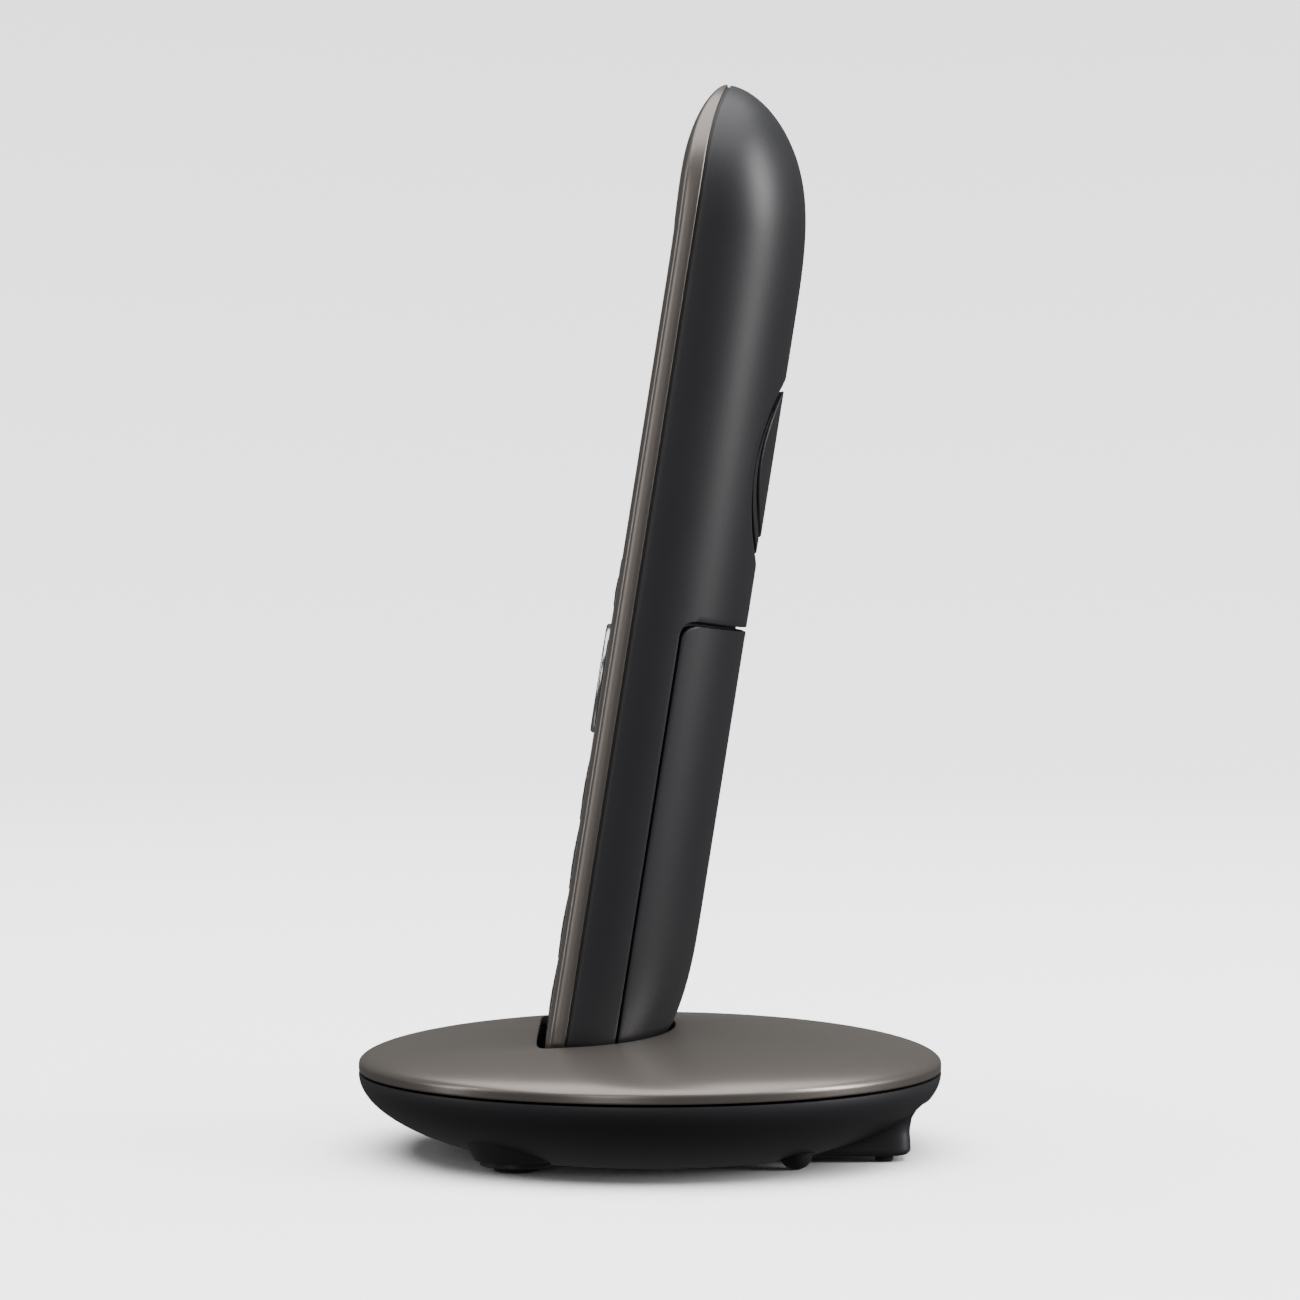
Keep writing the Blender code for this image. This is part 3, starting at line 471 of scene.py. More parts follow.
def add_piece(mesh, finish, body, replaced=()):
    """Link a mesh as a visible piece that rides on a body."""
    piece = bpy.data.objects.new(mesh.name, mesh)
    bpy.context.scene.collection.objects.link(piece)
    mesh.materials.clear()
    mesh.materials.append(FINISHES[finish])
    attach(piece, body)
    if replaced:
        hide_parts(*replaced)
    return piece


def apply_booleans(mesh, cutters):
    """The mesh after each (cutter mesh, operation), with smooth shading kept."""
    work = bpy.data.objects.new(mesh.name + "_work", mesh)
    bpy.context.scene.collection.objects.link(work)
    helpers = [work]
    for cutter, operation in cutters:
        helper = bpy.data.objects.new("helper", cutter)
        bpy.context.scene.collection.objects.link(helper)
        helpers.append(helper)
        step = work.modifiers.new("step", "BOOLEAN")
        step.operation = operation
        step.solver = "EXACT"
        step.object = helper
    bpy.context.view_layer.update()
    evaluated = work.evaluated_get(bpy.context.evaluated_depsgraph_get())
    result = bpy.data.meshes.new_from_object(evaluated)
    for helper in helpers:
        bpy.data.objects.remove(helper)
    result.name = mesh.name
    result.shade_smooth()
    result.set_sharp_from_angle(angle=math.radians(35))
    return result


# ------------------------------------------------------------------ handset form

def taper(z, start, end, power, root):
    """1 up to start, then the root of one minus a power of the way to end, where it is 0."""
    t = np.clip((z - start) / (end - start), 0, 1)
    return np.clip(1 - t ** power, 0, None) ** (1 / root)


def half_width(z, inset=0.0):
    """The full half width, narrowed by one taper at the top and one at the bottom."""
    h = handset()
    top = taper(z, h.length - 0.024, h.length - inset, power=2.4, root=2.2)
    return (h.half_width - inset) * top * taper(z, 0.014, inset, power=2.6, root=2.6)


def seam_y(z):
    """Flat, then a power of 2.2 back to the tip over the last 14 mm."""
    h = handset()
    return h.tip_setback * np.clip((z - h.length) / 0.014 + 1, 0, None) ** 2.2


def back_depth(z, inset=0.0):
    """Depth behind the seam: the full depth times a long taper at the top and one at the bottom."""
    h = handset()
    top = taper(z, 0.126, h.length - inset, power=3.7, root=1.7)
    bottom = taper(z, 0.034, inset, power=3.2, root=2.0)
    return (h.back_depth - inset - seam_y(z)) * top * bottom


def front_depth(z, inset=0.0):
    """Depth before the seam: full depth and a bell curve by the ear slot, times the two tapers."""
    h = handset()
    top = taper(z, 0.142, h.length - inset, power=4.0, root=1.7)
    fullness = 0.0003 * np.exp(-((z - 0.150) / 0.008) ** 2)
    bottom = taper(z, 0.012, inset, power=2.4, root=2.0)
    return (h.front_depth + fullness - inset) * top * bottom


# Depth, squareness and side of the seam plane of each half of the handset
BACK = (back_depth, 2.2, 1)
FRONT = (front_depth, 8.0, -1)


def half_surface(theta, z, form, inset=0.0):
    """A half superellipse at each height: x from a power of the cosine, y from one of the sine."""
    depth, squareness, side = form
    h = handset()
    theta, z = np.broadcast_arrays(theta, z)
    z = inset + (h.length - 2 * inset) * z / h.length
    across = np.cos(theta)
    x = half_width(z, inset) * np.sign(across) * np.abs(across) ** (2 / squareness)
    deep = depth(z, inset) * np.abs(np.sin(theta)) ** (2 / squareness)
    return np.stack([x, seam_y(z) + side * (h.seam_gap / 2 + deep), z], axis=-1)


def angle_at_x(x, z, form):
    """The superellipse angle of the point at x."""
    ratio = np.clip(x / np.maximum(half_width(z), 1e-9), -1, 1)
    return np.arccos(np.sign(ratio) * np.abs(ratio) ** (form[1] / 2))


def angle_at_y(y, z, form):
    """The superellipse angle of the point this far behind the seam, on the +X side."""
    ratio = np.clip((y - handset().seam_gap / 2 - seam_y(z)) / np.maximum(form[0](z), 1e-9), 0, 1)
    return np.arcsin(ratio ** (form[1] / 2))


def spaced(start, end, count, bias=1.0):
    """Numbers from start to end, closer to start when bias is over 1."""
    return start + (end - start) * np.linspace(0, 1, count) ** bias


def strip(limit, z, columns, power=1.0):
    """Angles from the seam to a limit on each side, one row for each height."""
    share = np.linspace(0, 1, columns) ** power
    left = share * limit[:, None]
    rows = np.broadcast_to(z[:, None], left.shape)
    return [(left, rows), (np.pi - left, rows)]


def band(edge, z, columns, middle_columns, power=1.0):
    """Angles all the way round: both side strips and the middle between them."""
    share = edge * np.linspace(0, 1, columns) ** power
    centre = np.linspace(edge, np.pi - edge, middle_columns)
    angles = np.concatenate([share, centre[1:-1], (np.pi - share)[::-1]])
    return np.broadcast_arrays(angles[None, :], z[:, None])


def door_limit(z, gap=0.0, top_gap=0.0):
    """Angle of the door's seam: straight up the side, then a quarter circle to its top edge."""
    h = handset()
    up = np.clip(z - (h.door_top - top_gap - h.door_corner), 0, h.door_corner)
    side = h.door_side + gap + h.door_corner - np.sqrt(np.maximum(h.door_corner ** 2 - up ** 2, 0))
    return angle_at_y(side, z, BACK)


def door_bottom(gap=0.0):
    """The height at which the shell is as deep as the door's side seam."""
    z = np.linspace(0, 0.02, 4001)
    return float(z[np.argmax(back_depth(z) + handset().seam_gap / 2 >= handset().door_side + gap)])


def corner_heights(top, corner, count=10):
    """Heights up a quarter circle that ends at top."""
    return top - corner + corner * np.sin(np.linspace(0, np.pi / 2, count))


def disc_ring(edge, low, high, around, along, rows):
    """Grid between the speaker hole and the rectangle of angles and heights around it."""
    h = handset()
    across = np.linspace(edge, np.pi - edge, around)
    up = np.linspace(low, high, along)
    theta = np.concatenate([across, np.full(along, np.pi - edge)[1:], across[::-1][1:],
                            np.full(along, edge)[1:]])
    z = np.concatenate([np.full(around, low), up[1:], np.full(around, high)[1:], up[::-1][1:]])
    a = (np.pi / 2 - theta) / (np.pi / 2 - edge)
    b = (z - h.hole_height) / ((high - low) / 2)
    turn = np.arctan2(b, a)
    hole_z = h.hole_height + h.hole_radius * np.sin(turn)
    hole_theta = angle_at_x(h.hole_radius * np.cos(turn), hole_z, BACK)
    share = np.linspace(0, 1, rows)[:, None]
    return hole_theta + (theta - hole_theta) * share, hole_z + (z - hole_z) * share


def dished(points):
    """Sink points around the speaker hole: all of the depth at its edge, none at the chamfer's width.

    The depth is greatest above and below the hole and least at its sides, by the square of the sine.
    """
    h = handset()
    x, y, z = np.moveaxis(points, -1, 0)
    up = z - h.hole_height
    radius = np.maximum(np.hypot(x, up), 1e-6)
    depth = h.chamfer_depth * (0.2 + 0.8 * (up / radius) ** 2)
    share = 1 - (radius - h.hole_radius) / h.chamfer_width
    eased = (share + np.sqrt(share ** 2 + 0.01)) / 2
    return np.stack([x, y - depth * np.where(share > -1, eased, 0), z], axis=-1)


def shell_piece(name, grids, form, wall, edge_radius, drop=0.0, shape=None):
    """A shell of the handset from grids of angle and height, sunk by drop and changed by shape."""
    h = handset()
    outer = [half_surface(theta, z, form, drop) for theta, z in grids]
    if shape:
        outer = [shape(grid) for grid in outer]
    inner = [half_surface(theta, z, form, drop + wall) for theta, z in grids]
    centre, size = np.array([0, 0, h.length / 2]), np.array([h.half_width, h.back_depth, h.length / 2])
    return shell_mesh(name, outer, inner, centre, size, edge_radius, place=to_world)


class PHONE_OT_rear_shell(bpy.types.Operator):
    """Rear shell: half superellipses along the handset, open for the battery door and speaker cover"""
    bl_idname = "phone.rear_shell"
    bl_label = "Rear Shell"

    def execute(self, context):
        h = handset()
        low, columns = door_bottom(), 16
        heights = np.concatenate([spaced(0, low, 10, 2)[:-1],
                                  spaced(low, h.door_top - h.door_corner, 70, 2)[:-1],
                                  corner_heights(h.door_top, h.door_corner)])
        grids = strip(door_limit(heights), heights, columns)
        edge = float(door_limit(np.array([h.door_top]))[0])
        ring_low, ring_high = h.hole_height - RING_REACH, h.hole_height + RING_REACH
        around, along = 61, 49
        grids.append(band(edge, np.linspace(h.door_top, ring_low, 8), columns, around))
        sides = np.linspace(ring_low, ring_high, along)
        grids += strip(np.full(along, edge), sides, columns)
        grids.append(disc_ring(edge, ring_low, ring_high, around, along, 26))
        tip = h.length - (h.length - ring_high) * (1 - np.sin(np.linspace(0, np.pi / 2, 60)))
        grids.append(band(edge, tip, columns, around))
        mesh = shell_piece("rear_shell_skin", grids, BACK, h.shell_wall, SHELL_EDGE, shape=dished)
        add_piece(mesh, "charcoal", "handset", ["rear_shell"])
        return {"FINISHED"}


class PHONE_OT_battery_door(bpy.types.Operator):
    """Battery door: the part of the rear surface behind the door seam, drawn in by the seam's gap"""
    bl_idname = "phone.battery_door"
    bl_label = "Battery Door"

    def execute(self, context):
        h = handset()
        gap, top = h.door_gap, h.door_top - h.door_top_gap
        heights = np.concatenate([spaced(door_bottom(gap), top - h.door_corner, 90, 2)[:-1],
                                  corner_heights(top, h.door_corner)])
        limit = door_limit(heights, gap, h.door_top_gap)[:, None]
        share = np.linspace(0, 1, 61)[None, :]
        theta = limit + (np.pi - 2 * limit) * share
        grid = np.broadcast_arrays(theta, heights[:, None])
        mesh = shell_piece("battery_door_skin", [grid], BACK, h.door_wall, SHELL_EDGE)
        add_piece(mesh, "charcoal", "battery_door", ["battery_door"])
        self.add_lip()
        return {"FINISHED"}

    def add_lip(self):
        """The shell's lip under the door's top edge: the rear surface sunk past the door's wall."""
        h = handset()
        edge = float(door_limit(np.array([h.door_top - h.door_corner]))[0])
        theta = np.linspace(edge, np.pi - edge, 61)[None, :]
        z = np.linspace(h.door_top - 0.0035, h.door_top + 0.0020, 8)[:, None]
        mesh = shell_piece("battery_door_lip", [np.broadcast_arrays(theta, z)], BACK, wall=0.0007,
                           edge_radius=0.0001, drop=h.door_wall + 0.0004)
        add_piece(mesh, "pocket", "handset")


class PHONE_OT_speaker_cover(bpy.types.Operator):
    """Round speaker cover: circles on the rear surface, with a sunk crescent between it and its hole"""
    bl_idname = "phone.speaker_cover"
    bl_label = "Speaker Cover"

    def execute(self, context):
        h = handset()
        radius = np.linspace(0, h.disc_radius, 24)[:, None]
        turn = np.linspace(0, 2 * np.pi, 145)[None, :]
        z = h.disc_height + radius * np.sin(turn)
        theta = angle_at_x(radius * np.cos(turn), z, BACK)
        mesh = shell_piece("speaker_cover_skin", [(theta, z)], BACK, wall=0.0012, edge_radius=0.00025)
        add_piece(mesh, "charcoal", "handset", ["speaker_cover"])
        share = np.linspace(0, 1, 12)[:, None]
        inner, outer = h.disc_radius + h.gasket_gap, h.hole_radius - h.gasket_gap
        radius = inner + (outer - inner) * share
        x = radius * np.cos(turn)
        z = h.disc_height + (h.hole_height - h.disc_height) * share + radius * np.sin(turn)
        z = np.minimum(z, h.hole_height + np.sqrt(np.maximum(outer ** 2 - x ** 2, 0)))
        grid = (angle_at_x(x, z, BACK), z)
        gasket = shell_piece("speaker_gasket_skin", [grid], BACK, h.door_wall, edge_radius=0.00015,
                             drop=h.gasket_gap)
        add_piece(gasket, "pocket", "handset", ["speaker_gasket"])
        return {"FINISHED"}


class PHONE_OT_front_cover(bpy.types.Operator):
    """Front cover: a squarer superellipse, open for the lens and keypad, with an ear slot"""
    bl_idname = "phone.front_cover"
    bl_label = "Front Cover"

    def execute(self, context):
        h = handset()
        columns, middle = 16, 41
        low, high, corner = h.window_low, h.window_high, h.window_corner
        heights = np.concatenate([low + high - corner_heights(high, corner)[::-1],
                                  np.linspace(low + corner, high - corner, 90)[1:-1],
                                  corner_heights(high, corner)])
        past = np.maximum(low + corner - heights, heights - (high - corner))
        drawn = corner - np.sqrt(np.maximum(corner ** 2 - np.maximum(past, 0) ** 2, 0))
        limit = angle_at_x(h.window_width / 2 - drawn, heights, FRONT)
        grids = strip(limit, heights, columns, 1.8)
        bottom = spaced(0, low, 24, 2)
        tip = h.length - (h.length - high) * (1 - np.sin(np.linspace(0, np.pi / 2, 50)))
        grids.append(band(float(limit[0]), bottom, columns, middle, 1.8))
        grids.append(band(float(limit[-1]), tip, columns, middle, 1.8))
        mesh = shell_piece("front_cover_skin", grids, FRONT, h.cover_wall, edge_radius=0.00026)
        slot = cap_grid(width=0.011, height=0.0016, corner=0.0007, top=-0.006, bottom=0.002, edge=0.0001)
        slot[..., 2] += h.ear_slot_height
        cutter = closed_mesh("slot", slot, to_world)
        mesh = apply_booleans(mesh, [(cutter, "DIFFERENCE")])
        add_piece(mesh, "bronze", "handset", ["front_cover"])
        return {"FINISHED"}


class PHONE_OT_seam_tongue(bpy.types.Operator):
    """Tongue in the seam: a thin square band that follows the handset's outline just inside it"""
    bl_idname = "phone.seam_tongue"
    bl_label = "Seam Tongue"

    def execute(self, context):
        h = handset()
        rise = np.sin(np.linspace(-np.pi / 2, np.pi / 2, 160)) / 2 + 0.5
        rows = []
        for inset, deep in ((0.00035, -0.0006), (0.00035, 0.0006), (0.0008, 0.0006), (0.0008, -0.0006)):
            z = inset + (h.length - 2 * inset) * rise
            x = half_width(z, inset)
            around = np.concatenate([np.stack([x, z], axis=-1), np.stack([-x, z], axis=-1)[::-1][1:]])
            rows.append(np.stack([around[:, 0], seam_y(around[:, 1]) + deep, around[:, 1]], axis=-1))
        mesh = closed_mesh("seam_tongue", np.stack(rows + rows[:1]), to_world, 50)
        add_piece(mesh, "pocket", "handset")
        return {"FINISHED"}


def node_box(name):
    """The two corners of a CAD node's box."""
    return (np.array(corner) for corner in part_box(name))


def node_in_handset(name):
    """The two corners of a CAD node's box along the handset's own axes, from its vertices."""
    h = handset()
    mesh = frame["nodes"][name].data
    points = np.empty(len(mesh.vertices) * 3)
    mesh.vertices.foreach_get("co", points)
    x, y, z = points.reshape(-1, 3).T
    y, z = y - h.seat_y, z - h.seat_z
    local = np.stack([x, math.cos(LEAN) * y - math.sin(LEAN) * z, math.sin(LEAN) * y + math.cos(LEAN) * z])
    return local.min(axis=1), local.max(axis=1)


def over_node(grid, node):
    """A grid moved sideways and up to the middle of a CAD node."""
    low, high = node_in_handset(node)
    return grid + (low + high) / 2 * (1, 0, 1)


def cap_like(node, name, corner, edge, crown=0.0):
    """A rounded cap in the space of a CAD node on the handset's front."""
    low, high = node_in_handset(node)
    grid = cap_grid(high[0] - low[0], high[2] - low[2], corner, low[1], high[1], edge, crown)
    return closed_mesh(name, over_node(grid, node), to_world)


def hole_around(node):
    """A cutter through the bezel, a little larger than a key."""
    low, high = node_in_handset(node)
    grid = cap_grid(high[0] - low[0] + KEY_CLEARANCE, high[2] - low[2] + KEY_CLEARANCE,
                    KEY_CORNERS[node] + KEY_CLEARANCE / 2, top=-0.006, bottom=0.001, edge=0.0001)
    return closed_mesh("hole", over_node(grid, node), to_world), "DIFFERENCE"


def flat_text(name, text, size, x, y, z):
    """Printed characters as a thin mesh on the front, centred on (x, z) at depth y."""
    curve = bpy.data.curves.new(name, "FONT")
    curve.body = text
    curve.size = size
    curve.align_x = "CENTER"
    curve.align_y = "CENTER"
    curve.extrude = 0.00002
    curve.resolution_u = 4
    holder = bpy.data.objects.new(name, curve)
    bpy.context.scene.collection.objects.link(holder)
    bpy.context.view_layer.update()
    evaluated = holder.evaluated_get(bpy.context.evaluated_depsgraph_get())
    mesh = bpy.data.meshes.new_from_object(evaluated)
    bpy.data.objects.remove(holder)
    points = np.empty(len(mesh.vertices) * 3)
    mesh.vertices.foreach_get("co", points)
    points = points.reshape(-1, 3)
    local = np.stack([x + points[:, 0], y - points[:, 2], z + points[:, 1]], axis=-1)
    mesh.vertices.foreach_set("co", to_world(local).ravel())
    mesh.name = name
    mesh.update()
    return mesh


class PHONE_OT_keypad(bpy.types.Operator):
    """Number, call and soft keys as rounded caps with a crown, printed with numbers and marks"""
    bl_idname = "phone.keypad"
    bl_label = "Keypad"

    def execute(self, context):
        labels = {"star": "*", "hash": "#"}
        crown, text_size = 0.00012, 0.0052
        for digit in DIGITS:
            node = "key_" + digit
            self.add_cap(node, crown)
            low, high = node_in_handset(node)
            x, _, z = (low + high) / 2
            star_drop = 0.0012 if digit == "star" else 0.0
            mesh = flat_text(node + "_print", labels.get(digit, digit), text_size, x, low[1] - crown,
                             z - star_drop)
            add_piece(mesh, "print", node)
        for node, finish, width, height in KEY_MARKS:
            self.add_cap(node, crown=0.0001)
            face = node_in_handset(node)[0][1]
            mark = cap_grid(width, height, height / 2 - 1e-5, face - 0.00015, face, edge=0.00003)
            add_piece(closed_mesh(node + "_mark", over_node(mark, node), to_world), finish, node)
        return {"FINISHED"}

    def add_cap(self, node, crown):
        """A key cap in place of its CAD node."""
        add_piece(cap_like(node, node + "_cap", KEY_CORNERS[node], KEY_EDGE, crown), "keys", node,
                  [node])


class PHONE_OT_navigation(bpy.types.Operator):
    """Navigation ring turned from a rounded profile, its centre key, and four pointer marks"""
    bl_idname = "phone.navigation"
    bl_label = "Navigation Keys"

    def execute(self, context):
        low, high = node_in_handset("nav_ring")
        middle = (low + high) / 2
        outer, inner, depth = (high[0] - low[0]) / 2, 0.0040, high[1] - low[1]
        edge, dish, mark_size, mark_place = 0.0005, 0.0004, 0.0012, 0.0066
        turn = np.linspace(0, np.pi / 2, 6)
        profile = np.concatenate([
            [[inner, depth], [outer, depth]],
            np.stack([outer - edge + edge * np.cos(turn), edge - edge * np.sin(turn)], axis=-1),
            [[outer - 0.0013, 0.0001], [inner + 0.0010, dish]],
            np.stack([inner + edge - edge * np.sin(turn), dish + edge - edge * np.cos(turn)], axis=-1),
            [[inner, depth]]])
        grid = revolved(profile, 128)
        grid = over_node(np.stack([grid[..., 0], grid[..., 2] + low[1], grid[..., 1]], axis=-1), "nav_ring")
        add_piece(closed_mesh("nav_ring_plated", grid, to_world), "silver", "nav_ring",
                  ["nav_ring"])
        centre_key = cap_like("nav_centre_key", "nav_centre_cap", 0.00355, KEY_EDGE, crown=0.0001)
        add_piece(centre_key, "keys", "nav_centre_key", ["nav_centre_key"])
        for name, x, z in (("up", 0, 1), ("down", 0, -1), ("left", -1, 0), ("right", 1, 0)):
            mark = cap_grid(mark_size, mark_size, 0.00058, top=0.00012, bottom=0.00035, edge=0.00003)
            mark += (middle[0] + x * mark_place, low[1] - 0.00002, middle[2] + z * mark_place)
            add_piece(closed_mesh("nav_mark_" + name, mark, to_world), "keys", "nav_ring")
        return {"FINISHED"}


class PHONE_OT_front_panel(bpy.types.Operator):
    """Display lens and keypad bezel as flat plates with rounded corners; the bezel has the key holes"""
    bl_idname = "phone.front_panel"
    bl_label = "Front Panel"

    def execute(self, context):
        lens = cap_like("display_lens", "display_lens_plate", corner=0.0022, edge=0.0003)
        add_piece(lens, "lens", "handset", ["display_lens"])
        bezel = cap_like("keypad_bezel", "keypad_bezel_plate", handset().window_corner, edge=0.0003)
        cutters = [hole_around(node) for node in KEY_CORNERS]
        add_piece(apply_booleans(bezel, cutters), "bezel", "handset", ["keypad_bezel"])
        return {"FINISHED"}


# ------------------------------------------------------------------ base form

def dome_height(radius, inset=0.0):
    """An ellipse from the crown down to the top of the lip."""
    b = base()
    edge = b.seam_z + handset().seam_gap / 2 + b.lip - inset / 2
    share = np.clip(radius / (b.radius - inset), 0, 1)
    return edge + (b.crown_z - inset - edge) * np.sqrt(1 - share ** 2)


def pocket_outline(count, extra=0.0):
    """Superellipse in the handset's x and y: square in front, rounder behind."""
    b = base()
    turn = 2 * np.pi * np.arange(count) / count
    across, deep = np.cos(turn), np.sin(turn)
    power = np.where(deep > 0, 2 / BACK[1], 2 / FRONT[1])
    depth = np.where(deep > 0, b.pocket_back, b.pocket_front) + extra
    x = (b.pocket_half_width + extra) * np.sign(across) * np.abs(across) ** power
    return x, depth * np.sign(deep) * np.abs(deep) ** power, turn


def on_dome(x, y, inset=0.0, drop=0.0):
    """World points where lines along the handset through (x, y) meet the dome, and their heights on it."""
    z = np.full_like(x, 0.01)
    for _ in range(8):
        points = to_world(np.stack([x, y, z], axis=-1))
        target = dome_height(np.hypot(points[:, 0], points[:, 1]), inset) - drop
        z += (target - points[:, 2]) / math.cos(LEAN)
    return to_world(np.stack([x, y, z], axis=-1)), z


class PHONE_OT_top_cover(bpy.types.Operator):
    """Domed top cover: straight lines from the pocket's mouth to the rim, lifted on to an ellipse"""
    bl_idname = "phone.top_cover"
    bl_label = "Top Cover"

    def execute(self, context):
        b = base()
        count = 360
        grids = []
        for inset in (0.0, b.wall):
            x, y, turn = pocket_outline(count)
            turn = np.append(turn, turn[0])
            mouth, _ = on_dome(np.append(x, x[0]), np.append(y, y[0]), inset)
            rim = (b.radius - inset) * np.stack([np.cos(turn), np.sin(turn)], axis=-1)
            share = np.sin(np.linspace(0, np.pi / 2, 64))[:, None, None]
            flat = mouth[None, :, :2] * (1 - share) + rim[None] * share
            height = dome_height(np.hypot(flat[..., 0], flat[..., 1]), inset)
            dome = np.concatenate([flat, height[..., None]], axis=-1)
            lowest = b.seam_z + handset().seam_gap / 2
            top = dome[-1, 0, 2]
            lip = [np.column_stack([rim, np.full(len(rim), top + (lowest - top) * k / 3)])
                   for k in range(1, 4)]
            grids.append([np.concatenate([dome, np.stack(lip)])])
        centre, size = np.array([0, 0, b.seam_z - 0.01]), np.array([b.radius, b.radius, 0.015])
        mesh = shell_mesh("base_top_cover_skin", grids[0], grids[1], centre, size, edge_radius=0.00016)
        add_piece(mesh, "bronze", "base", ["base_top_cover"])
        return {"FINISHED"}


class PHONE_OT_pocket(bpy.types.Operator):
    """Pocket liner: the pocket's outline carried down the handset's axis and rounded in to the floor"""
    bl_idname = "phone.pocket"
    bl_label = "Cradle Pocket"

    def execute(self, context):
        count, wall, floor, fillet = 240, 0.0011, -0.0025, 0.0012
        mean_width, mean_depth = 0.020, 0.012  # half sizes that turn a distance into a scale
        x, y, _ = pocket_outline(count)
        x, y = np.append(x, x[0]), np.append(y, y[0])

        def ring(scale, level):
            return np.stack([x * scale, y * scale, np.broadcast_to(level, x.shape)], axis=-1)

        grids = []
        for offset in (0.0, wall):
            grow = 1 + offset / mean_width
            _, top = on_dome(x, y, base().wall, 0.0003)
            rows = [ring(grow, top + (floor + fillet - top) * k / 8) for k in range(9)]
            for k in range(1, 7):
                angle = math.pi / 2 * k / 6
                shrink = 1 - fillet * (1 - math.cos(angle)) / mean_depth
                level = floor - offset + (fillet + offset) * (1 - math.sin(angle))
                rows.append(ring(grow * shrink, level))
            for k in range(1, 9):
                rows.append(ring(grow * shrink * (1 - k / 8), floor - offset))
            grids.append([np.stack(rows)])
        centre, size = np.array([0, 0.006, 0.03]), np.array([0.024, 0.012, 0.03])
        mesh = shell_mesh("cradle_pocket_liner", grids[1], grids[0], centre, size, edge_radius=0.0002,
                          place=to_world)
        cutters = []
        for side in ("left", "right"):
            low, high = node_in_handset("charge_contact_" + side)
            gap = np.array([0.0004, 0.0004, 0.001])
            cutters.append((block_mesh(low - gap, high + gap, to_world), "DIFFERENCE"))
        add_piece(apply_booleans(mesh, cutters), "pocket", "base", ["cradle_pocket"])
        rib = cap_grid(width=0.012, height=0.003, corner=0.0014, top=0.0, bottom=0.0026, edge=0.0005)
        rib = np.stack([rib[..., 0], rib[..., 2], -0.0003 - rib[..., 1]], axis=-1)
        add_piece(closed_mesh("pocket_rest_rib", rib, to_world), "pocket", "base")
        return {"FINISHED"}


def bowl_radius(z, inset=0.0):
    """Radius of the bowl at a height: a half ellipse from the rim down."""
    b = base()
    rim = b.seam_z - handset().seam_gap / 2
    share = np.clip((rim - z) / (b.bowl_depth - inset), 0, 1)
    return (b.radius - inset) * np.sqrt(1 - share ** 2)


def block_reach(turn, z):
    """How far the rear block reaches in a direction: a superellipse of its side and rear faces.

    The rear face is upright, then leans back in a hollow curve up to the rim. The reach is 0 in a
    direction that misses the block.
    """
    b, squareness = base(), 16.0
    flare, flare_low, flare_height = 0.0033, 0.0044, 0.0069
    face = b.block_face + flare * np.clip((z - flare_low) / flare_height, 0, 1) ** 1.7
    across, back = np.abs(np.cos(turn)), np.maximum(np.sin(turn), 1e-6)
    side = (across / b.block_half_width) ** squareness + (back / face) ** squareness
    return np.where(np.sin(turn) > 0.3, side ** (-1 / squareness), 0)


def lower_grid(steps=480):
    """Bowl and block as one radius over direction and height, blended by a rounded maximum."""
    b = base()
    rim = b.seam_z - handset().seam_gap / 2
    turn = np.linspace(0, 2 * np.pi, steps + 1)[None, :]
    block_low, corner, soft, rim_margin, fade_height = b.block_low, 0.0010, 0.0018, 0.0006, 0.0012
    low_part = b.floor_z + (block_low - b.floor_z) * np.linspace(0, 1, 5) ** 2
    heights = np.concatenate([block_low + corner * (1 - np.cos(np.linspace(0, np.pi / 2, 8))),
                              np.linspace(block_low + corner, rim, 72)[1:]])
    shrink = corner - np.sqrt(np.maximum(corner ** 2 - np.maximum(block_low + corner - heights, 0) ** 2, 0))
    z = heights[:, None]
    bowl = bowl_radius(z) + 0 * turn
    reach = np.minimum(block_reach(turn, z), b.radius - rim_margin)
    reach = np.where(reach > 0, reach - shrink[:, None], 0)
    joined = (bowl + reach + np.sqrt((bowl - reach) ** 2 + soft ** 2)) / 2
    joined -= soft / 2 * np.exp(-np.abs(bowl - reach) / 0.004)
    fade = np.clip((rim - z) / fade_height, 0, 1)
    joined = bowl + np.maximum(joined - bowl, 0) * fade
    below = np.broadcast_to(bowl_radius(low_part)[:, None], (5, steps + 1))
    radius = np.concatenate([0 * below[:1], below[:1] * 0.5, below, joined, 0 * below[:1]])
    height = np.concatenate([[b.floor_z, b.floor_z], low_part, heights, [rim]])[:, None]
    return np.stack([radius * np.cos(turn), radius * np.sin(turn), height + 0 * radius], axis=-1)[::-1]


